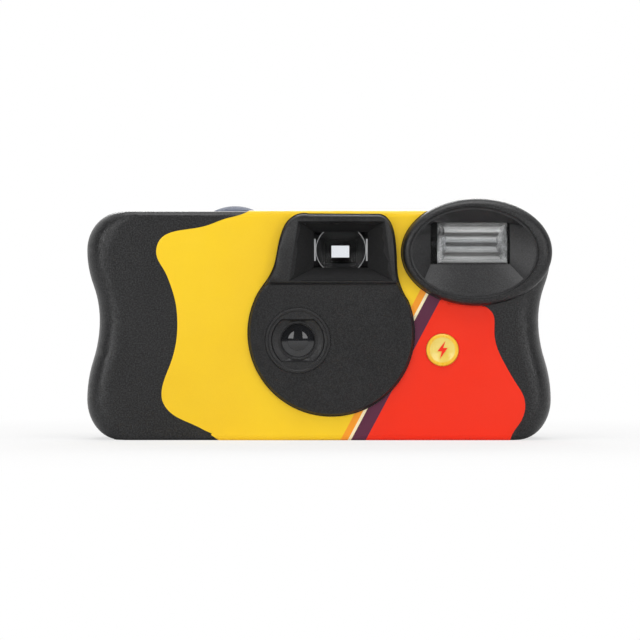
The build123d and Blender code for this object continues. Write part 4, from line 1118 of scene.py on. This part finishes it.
@dataclass
class FlashHead:
    """Rounded bezel, ruled dish and fluted reflector of the flash."""

    bezel_centre: Pair = (38.9 * MM, 46.4 * MM)
    bezel_half: Pair = (18.5 * MM, 13.2 * MM)
    bezel_front: float = -18.5 * MM
    bezel_back: float = -16.2 * MM
    bezel_lap: float = 0.3 * MM
    bezel_grow: Pair = (0.03 * MM, 0.04 * MM)
    bezel_steps: int = 160
    bezel_rings: int = 12
    rim_centre: Pair = (38.1 * MM, 46.2 * MM)
    rim_half: Pair = (15.9 * MM, 11.35 * MM)
    rim_steps: tuple[tuple[float, float], ...] = (
        (0.03 * MM, 0.03 * MM), (0.3 * MM, 0.34 * MM), (0.72 * MM, 0.4 * MM),
    )
    window_centre: Pair = (37.3 * MM, 48.6 * MM)
    window_half: Pair = (9.8 * MM, 5.2 * MM)
    window_front: float = -15.05 * MM
    window_lap: float = 0.18 * MM
    crease_angle: float = 37.0
    side_steps: int = 24
    dish_wall: float = 0.12 * MM
    mirror_left: float = 29.4 * MM
    mirror_right: float = 46.3 * MM
    mirror_half: float = 4.9 * MM
    mirror_centre: float = 48.7 * MM
    mirror_front: float = -13.55 * MM
    mirror_depth: float = 5.6 * MM
    mirror_wall: float = 0.25 * MM
    end_slope: float = 0.42
    flutes: int = 4
    flute_steps: int = 18
    flute_depth: float = 0.9 * MM
    end_share: float = 0.5

    def rim_ring(self, mesh: Mesh, inset: float, y: float) -> list[Vert]:
        """Points of the dish's oval rim, starting at the window's upper right crease.

        Args:
            mesh: Mesh that gets the points.
            inset: Distance inside the rim.
            y: Depth of the ring.

        Returns:
            The ring's points.
        """
        turns = (self.crease_angle, 180 - self.crease_angle, 180 + self.crease_angle, 360 - self.crease_angle,
                 360 + self.crease_angle)
        half = (self.rim_half[0] - inset, self.rim_half[1] - inset)
        points = []
        for start, end in zip(turns, turns[1:]):
            for step in range(self.side_steps):
                angle = radians(start + (end - start) * step / self.side_steps)
                points.append(mesh.verts.new(oval_point(self.rim_centre, half, angle, y)))
        return points

    def window_ring(self, mesh: Mesh, y: float) -> list[Vert]:
        """Points around the window, as many as the rim has.

        Args:
            mesh: Mesh that gets the points.
            y: Depth of the ring.

        Returns:
            The ring's points.
        """
        half, rise = self.window_half
        corners = ((half, rise), (-half, rise), (-half, -rise), (half, -rise), (half, rise))
        points = []
        for start, end in zip(corners, corners[1:]):
            for step in range(self.side_steps):
                share = step / self.side_steps
                points.append(mesh.verts.new((
                    self.window_centre[0] + start[0] + (end[0] - start[0]) * share, y,
                    self.window_centre[1] + start[1] + (end[1] - start[1]) * share)))
        return points

    def bezel(self) -> None:
        """Ring that rounds from the hump's side to the dish's rim."""
        piece = Piece("flash_bezel", smooth_angle=35)
        inner = tuple(half + self.bezel_grow[1] for half in self.rim_half)
        outer = tuple(half + self.bezel_grow[0] for half in self.bezel_half)
        back = self.bezel_back + self.bezel_lap
        turns = [pi / 2 * ring / self.bezel_rings for ring in range(self.bezel_rings + 1)]
        height = self.bezel_front - self.bezel_back
        rings = [(0.0, back), *((1 - cos(turn), self.bezel_back + height * sin(turn)) for turn in turns),
                 (1.0, back)]
        made = []
        for share, y in rings:
            middle = [a + (b - a) * share for a, b in zip(self.bezel_centre, self.rim_centre)]
            half = [a + (b - a) * share for a, b in zip(outer, inner)]
            made.append([piece.mesh.verts.new(oval_point(middle, half, 2 * pi * step / self.bezel_steps, y))
                         for step in range(self.bezel_steps)])
        loops(piece.mesh, made + made[:1])
        piece.outward()
        piece.place([BLACK_GRAIN])

    def dish(self) -> None:
        """Dish whose walls run from the oval rim to the window's four sides."""
        piece = Piece("flash_dish", smooth_angle=12)
        rings = [self.rim_ring(piece.mesh, inset, self.bezel_front + depth)
                 for inset, depth in self.rim_steps]
        rings += [self.window_ring(piece.mesh, self.window_front + depth) for depth in (0.0, self.window_lap)]
        loops(piece.mesh, rings)
        bmesh.ops.recalc_face_normals(piece.mesh, faces=piece.mesh.faces)
        piece.thicken(self.dish_wall)
        piece.place([BLACK_DISH])

    def mirror_depth_at(self, share: float) -> float:
        """Depth of the fluted trough.

        Args:
            share: Place across the trough from -1 to 1.

        Returns:
            Depth behind the mouth.
        """
        bowl = self.mirror_depth * sqrt(max(0.0, 1 - share * share))
        ripple = abs(sin(pi * self.flutes * (share + 1) / 2))
        return bowl - self.flute_depth * (1 - ripple) * min(1.0, bowl / MM)

    def reflector(self) -> None:
        """Trough with lengthwise flutes and two slanted end walls."""
        piece = Piece("fluted_reflector", replaced=("flash_reflector",), smooth_angle=24)
        mesh = piece.mesh
        count = self.flutes * self.flute_steps
        left, right = [], []
        for step in range(count + 1):
            share = -1 + 2 * step / count
            depth = self.mirror_depth_at(share)
            z = self.mirror_centre + self.mirror_half * share
            y = self.mirror_front + depth
            left.append(mesh.verts.new((self.mirror_left + depth * self.end_slope, y, z)))
            right.append(mesh.verts.new((self.mirror_right - depth * self.end_slope, y, z)))
        for step in range(count):
            mesh.faces.new((left[step], left[step + 1], right[step + 1], right[step]))
        mesh.faces.new(left)
        mesh.faces.new(right)
        bmesh.ops.recalc_face_normals(mesh, faces=mesh.faces)
        bmesh.ops.triangulate(mesh, faces=[face for face in mesh.faces if len(face.verts) > 4])
        piece.thicken(self.mirror_wall)
        for face in mesh.faces:
            face.material_index = 1 if abs(face.normal.x) > self.end_share else 0
        piece.place([REFLECTOR_FOIL, REFLECTOR_END])

    def build(self) -> None:
        """Build the bezel, the dish and the reflector."""
        self.bezel()
        self.dish()
        self.reflector()


@dataclass
class FlashButton:
    """Yellow flash button with a hollow face and a raised red bolt."""

    centre: Pair = (30.4 * MM, 22.3 * MM)
    radius: float = 4.0 * MM
    flange: float = 4.8 * MM
    back: float = -12.8 * MM
    flange_front: float = -13.8 * MM
    shoulder: float = -15.95 * MM
    front: float = -16.3 * MM
    hollow: float = 3.1 * MM
    hollow_depth: float = 0.42 * MM
    hollow_rings: int = 7
    lip_depth: float = 0.05 * MM
    rim_insets: Pair = (0.08 * MM, 0.28 * MM)
    rim_round: float = 0.12 * MM
    cream_depth: float = 0.4 * MM
    steps: int = 64
    bolt_rise: float = 0.07 * MM
    bolt_root: float = 2.5
    bolt: tuple[tuple[float, float], ...] = (
        (0.72 * MM, 2.2 * MM), (-1.25 * MM, -0.35 * MM), (-0.15 * MM, -0.35 * MM), (-0.62 * MM, -2.2 * MM),
        (1.25 * MM, 0.48 * MM), (0.18 * MM, 0.48 * MM),
    )

    def face_at(self, reach: float) -> float:
        """Depth of the hollow face at a distance from its middle."""
        return self.front + self.lip_depth + self.hollow_depth * (1 - (reach / self.hollow) ** 2)

    def build(self) -> None:
        """Spin the button and raise its bolt."""
        piece = Piece("hollow_flash_button", "flash_button_body", ("flash_button",), 28)
        mesh = piece.mesh
        profile = [(0.0, self.back), (self.flange, self.back), (self.flange, self.flange_front),
                   (self.radius, self.flange_front), (self.radius, self.shoulder),
                   (self.radius - self.rim_insets[0], self.front + self.rim_round),
                   (self.radius - self.rim_insets[1], self.front),
                   (self.hollow + self.rim_round, self.front)]
        reaches = [self.hollow * (1 - ring / self.hollow_rings) for ring in range(self.hollow_rings + 1)]
        profile += [(reach, self.face_at(reach)) for reach in reaches]
        spun(mesh, profile, self.centre, self.steps)
        piece.outward()
        for face in mesh.faces:
            middle = face.calc_center_median()
            reach = (Vector((middle.x, middle.z)) - Vector(self.centre)).length
            in_hollow = reach < self.hollow and middle.y < self.shoulder + self.cream_depth
            face.material_index = 1 if in_hollow else 0
        outline = []
        for right, up in self.bolt:
            y = self.face_at(sqrt(right * right + up * up)) - self.bolt_rise
            outline.append(mesh.verts.new((self.centre[0] + right, y, self.centre[1] + up)))
        top = mesh.faces.new(outline)
        top.material_index = 2
        sides = bmesh.ops.extrude_face_region(mesh, geom=[top])
        lowered = [item for item in sides["geom"] if isinstance(item, Vert)]
        bmesh.ops.translate(mesh, verts=lowered, vec=(0, self.bolt_root * self.bolt_rise, 0))
        bolt_faces = {face for vert in outline + lowered for face in vert.link_faces}
        for face in bolt_faces:
            face.material_index = 2
        bmesh.ops.triangulate(mesh, faces=[face for face in bolt_faces if len(face.verts) > 4])
        bmesh.ops.recalc_face_normals(mesh, faces=mesh.faces)
        piece.place([BUTTON_YELLOW, BUTTON_CREAM, RED_INK])


@dataclass
class LensGroup:
    """Taking lens and its stepped surround with two flats."""

    centre: Pair = (-5.2 * MM, 24.6 * MM)
    steps: int = 120
    lens_radius: float = 4.6 * MM
    lens_pole: float = -15.25 * MM
    lens_ball: float = 9.4 * MM
    lens_step: float = 2.5 * MM
    lens_step_depth: float = 0.08 * MM
    lens_step_width: float = 0.04 * MM
    lens_slopes: Pair = (3.0, 6.5)
    lens_back: float = -13.2 * MM
    lens_rings: int = 14
    surround: tuple[tuple[float, ...], ...] = (
        (8.0, -16.9), (8.0, -17.28), (7.86, -17.38), (7.42, -17.4), (7.3, -17.3), (7.2, -17.16),
        (6.86, -17.12), (6.6, -17.06, 5.3), (6.34, -16.3, 5.06), (6.1, -16.12, 4.94), (4.86, -15.78),
        (4.74, -15.86), (4.4, -15.88), (4.2, -15.7), (4.12, -14.62), (4.7, -14.6), (4.7, -13.2),
        (8.0, -13.2),
    )

    def lens(self) -> None:
        """Round front of the lens, flat behind."""
        piece = Piece("clear_taking_lens", replaced=("taking_lens",), smooth_angle=30)
        profile = []
        for ring in range(self.lens_rings + 1):
            reach = self.lens_step * ring / self.lens_rings
            profile.append((reach, self.lens_pole + self.lens_ball - sqrt(self.lens_ball ** 2 - reach ** 2)))
        reach, y = self.lens_step + self.lens_step_width, profile[-1][1] + self.lens_step_depth
        stride = (self.lens_radius - reach) / self.lens_rings
        profile.append((reach, y))
        flat, steep = self.lens_slopes
        for ring in range(self.lens_rings):
            slope = flat + (steep - flat) * (ring + 0.5) / self.lens_rings
            reach, y = reach + stride, y + stride * tan(radians(slope))
            profile.append((reach, y))
        profile += [(self.lens_radius, self.lens_back), (0.0, self.lens_back)]
        spun(piece.mesh, profile, self.centre, self.steps)
        piece.outward()
        piece.place([LENS_CLEAR])

    def rings(self) -> None:
        """Stepped surround with softened edges."""
        piece = Piece("lens_surround", replaced=("lens_retainer",), smooth_angle=24)
        rings = [circle_ring(piece.mesh, self.centre, reach * MM, y * MM, self.steps,
                             *(up * MM for up in flat))
                 for reach, y, *flat in self.surround]
        loops(piece.mesh, rings + rings[:1])
        piece.outward()
        piece.place([BLACK_FINE])

    def build(self) -> None:
        """Build the lens and its surround."""
        self.lens()
        self.rings()


@dataclass
class CounterDial:
    """Dark marks around the frame counter's disc."""

    centre: Pair = (-9.5 * MM, 6.5 * MM)
    top: float = 54.0 * MM
    marks: int = 28
    long_every: int = 4
    outer: float = 5.5 * MM
    short: float = 0.7 * MM
    long: float = 1.7 * MM
    width: float = 0.24 * MM
    rise: float = 0.05 * MM

    def build(self) -> None:
        """Lay the marks on the disc."""
        piece = Piece("counter_marks", "counter", smooth_angle=30)
        for mark in range(self.marks):
            length = self.short if mark % self.long_every else self.long
            block = bmesh.ops.create_cube(piece.mesh, size=1.0)["verts"]
            bmesh.ops.scale(piece.mesh, verts=block, vec=(length, self.width, 2 * self.rise))
            bmesh.ops.translate(piece.mesh, verts=block, vec=(self.outer - length / 2, 0, 0))
            bmesh.ops.rotate(piece.mesh, verts=block, cent=(0, 0, 0),
                             matrix=Matrix.Rotation(2 * pi * mark / self.marks, 3, "Z"))
            bmesh.ops.translate(piece.mesh, verts=block, vec=(*self.centre, self.top))
        piece.place([SATIN_BLACK])


@dataclass
class FinderLens:
    """Pale arcs of painted highlight on the edge of the finder's clear front lens, and the side bars of its
    holder.
    """

    centre: Pair = (5.4 * MM, 47.0 * MM)
    radius: float = 6.2 * MM
    edge: float = 0.11 * MM
    front: float = -13.3 * MM
    depth: float = 0.3 * MM
    arc: float = 46.0
    steps: int = 20
    bar_reach: float = 6.42 * MM
    bar_half: Pair = (0.2 * MM, 2.7 * MM)

    def build(self) -> None:
        """Build the two arcs of painted highlight on the lens edge and the side bars of its holder."""
        piece = Piece("finder_lens_edge_highlight", smooth_angle=40)
        for start in (-self.arc, 180 - self.arc):
            for step in range(self.steps):
                first = radians(start + 2 * self.arc * step / self.steps)
                second = radians(start + 2 * self.arc * (step + 1) / self.steps)
                inner = (self.radius - self.edge, self.radius - self.edge)
                outer = (self.radius, self.radius)
                corners = ((inner, first), (inner, second), (outer, second), (outer, first))
                piece.mesh.faces.new([piece.mesh.verts.new(oval_point(self.centre, half, angle, self.front))
                                      for half, angle in corners])
        for side in (-1, 1):
            half, rise = self.bar_half
            x = self.centre[0] + side * self.bar_reach
            z = self.centre[1]
            piece.mesh.faces.new([piece.mesh.verts.new((x + dx, self.front, z + dz)) for dx, dz in
                                  ((-half, -rise), (half, -rise), (half, rise), (-half, rise))])
        bmesh.ops.remove_doubles(piece.mesh, verts=piece.mesh.verts, dist=10 * MERGE_REACH)
        bmesh.ops.recalc_face_normals(piece.mesh, faces=piece.mesh.faces)
        bmesh.ops.solidify(piece.mesh, geom=piece.mesh.faces[:], thickness=self.depth)
        piece.outward()
        piece.place([LENS_EDGE_HIGHLIGHT])


@dataclass
class Studio:
    """Pale floor, soft lamps, white surroundings and the photograph's camera."""

    focal: float = 200.0
    sensor: float = 36.0
    centre_pixel: Pair = (319.0, 440.5)
    floor_half: float = 3.0
    floor_cells: int = 8
    floor_hole: Pair = (49 * MM, 12 * MM)
    floor_rise: float = 0.03 * MM
    shadow_near: float = 0.07
    shadow_far: float = 0.2
    shadow_share: float = 0.35
    ambient: float = 0.36
    dark_room: float = 0.06
    ceiling: float = 1.3
    backdrop_reach: Pair = (-0.35, 0.25)
    ceiling_reach: Pair = (0.5, 0.95)
    floor_clouds: float = 3
    floor_places: Pair = (0.3, 0.7)
    floor_tones: tuple[Colour, Colour] = ((0.86, 0.86, 0.86), (0.88, 0.88, 0.88))
    floor_roughness: float = 0.9
    front_depth: float = 16 * MM
    aim_height: float = 30 * MM

    def floor(self) -> None:
        """Pale floor that is open under the camera."""
        mesh = bmesh.new()
        bmesh.ops.create_grid(mesh, x_segments=self.floor_cells, y_segments=self.floor_cells,
                              size=self.floor_half)
        bmesh.ops.translate(mesh, verts=mesh.verts, vec=(0, 0, self.floor_rise))
        for side in (-1, 1):
            cut(mesh, Vector((side * self.floor_hole[0], 0, 0)), Vector((1, 0, 0)))
            cut(mesh, Vector((0, side * self.floor_hole[1], 0)), Vector((0, 1, 0)))
        under = [face for face in mesh.faces if abs(face.calc_center_median().x) < self.floor_hole[0]
                 and abs(face.calc_center_median().y) < self.floor_hole[1]]
        bmesh.ops.delete(mesh, geom=under, context="FACES")
        data = bpy.data.meshes.new("studio_floor")
        mesh.to_mesh(data)
        mesh.free()
        data.materials.append(self.floor_material())
        floor = bpy.data.objects.new("studio_floor", data)
        bpy.context.scene.collection.objects.link(floor)

    def floor_material(self) -> bpy.types.Material:
        """White to the camera but for the shadow near the body, and clear from below."""
        kit = Nodes("pale_floor")
        length = kit.add("VectorMath", {0: kit.place}, operation="LENGTH").outputs["Value"]
        away = kit.between(length, 1 - self.shadow_share, 1.0, self.shadow_near, self.shadow_far)
        glow = kit.add("Emission", {"Color": WHITE}).outputs["Emission"]
        kit.set(Base_Color=kit.ramp(kit.noise(self.floor_clouds), self.floor_places, *self.floor_tones),
                Roughness=self.floor_roughness)
        white = kit.combined("MULTIPLY", kit.looked_at(kit.add("LightPath")), away)
        shown = kit.blend(white, kit.surface.outputs["BSDF"], glow)
        behind = kit.add("NewGeometry").outputs["Backfacing"]
        through = kit.add("BsdfTransparent").outputs["BSDF"]
        kit.feed(kit.output, {"Surface": kit.blend(behind, shown, through)})
        return kit.material

    def lamp(self, which: Lamp) -> None:
        """Soft lamp aimed at the camera body.

        Args:
            which: Which lamp it is.
        """
        place, power, width, height = which.value
        data = bpy.data.lights.new(f"{which.name.lower()}_lamp", "AREA")
        data.shape = "RECTANGLE"
        data.size = width
        data.size_y = height
        data.energy = power
        lamp = bpy.data.objects.new(data.name, data)
        lamp.location = place
        aim = Vector((0, 0, self.aim_height)) - Vector(place)
        lamp.rotation_euler = aim.to_track_quat("-Z", "Y").to_euler()
        bpy.context.scene.collection.objects.link(lamp)

    def world(self) -> None:
        """White surroundings to look at, and a white backdrop and ceiling for mirrors in a darker room."""
        world = bpy.data.worlds.new("white_surroundings")
        world.use_nodes = True
        kit = Graph(world.node_tree)
        path = kit.add("LightPath")
        axes = kit.add("SeparateXYZ", {"Vector": kit.add("TexCoord").outputs["Generated"]}).outputs
        backdrop = kit.between(axes["Y"], self.dark_room, 1.0, *self.backdrop_reach)
        ceiling = kit.between(axes["Z"], 0.0, self.ceiling, *self.ceiling_reach)
        mirrored = kit.add("Mix", {0: path.outputs["Is Glossy Ray"], 2: self.ambient,
                                   3: kit.combined("MAXIMUM", backdrop, ceiling)}, data_type="FLOAT")
        strength = kit.add("Mix", {0: kit.looked_at(path), 2: mirrored.outputs[0], 3: 1.0},
                           data_type="FLOAT")
        kit.feed(kit.tree.nodes["Background"], {"Color": WHITE, "Strength": strength.outputs[0]})
        bpy.context.scene.world = world

    def camera(self) -> None:
        """Long lens straight in front, framed as the photograph is."""
        data = bpy.data.cameras.new("studio_camera")
        data.lens = self.focal
        data.sensor_width = self.sensor
        scale = MM_PER_PIXEL * MM
        distance = PHOTO_PIXELS * scale * self.focal / self.sensor
        middle = PHOTO_PIXELS / 2
        camera = bpy.data.objects.new("studio_camera", data)
        camera.location = ((middle - self.centre_pixel[0]) * scale, -distance - self.front_depth,
                           (self.centre_pixel[1] - middle) * scale)
        camera.rotation_euler = (radians(90), 0, 0)
        bpy.context.scene.collection.objects.link(camera)
        bpy.context.scene.camera = camera

    def build(self) -> None:
        """Set up the whole studio."""
        self.floor()
        self.world()
        for which in Lamp:
            self.lamp(which)
        self.camera()
        bpy.context.scene.view_settings.view_transform = "Standard"


def dress_nodes() -> None:
    """Give every carried over node its finish."""
    for look, nodes in NODES_OF.items():
        for node in nodes:
            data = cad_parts[node].data
            data.materials.clear()
            data.materials.append(finish(look))


def main() -> None:
    """Build the looks in order."""
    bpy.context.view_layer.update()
    dress_nodes()
    for group in (Covers(), WrapLabel(), BackLabel(), FlashHead(), FlashButton(), FinderLens(), LensGroup(),
                  CounterDial(), Studio()):
        group.build()


logging.basicConfig(level=logging.INFO, format="%(name)s: %(message)s")
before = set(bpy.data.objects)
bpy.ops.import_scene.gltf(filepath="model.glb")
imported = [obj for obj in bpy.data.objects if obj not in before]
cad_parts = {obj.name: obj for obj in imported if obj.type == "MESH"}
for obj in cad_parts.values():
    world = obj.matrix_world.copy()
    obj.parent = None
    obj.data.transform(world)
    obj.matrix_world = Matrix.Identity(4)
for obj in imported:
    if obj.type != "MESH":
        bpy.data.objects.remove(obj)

if __name__ == "__main__":
    main()
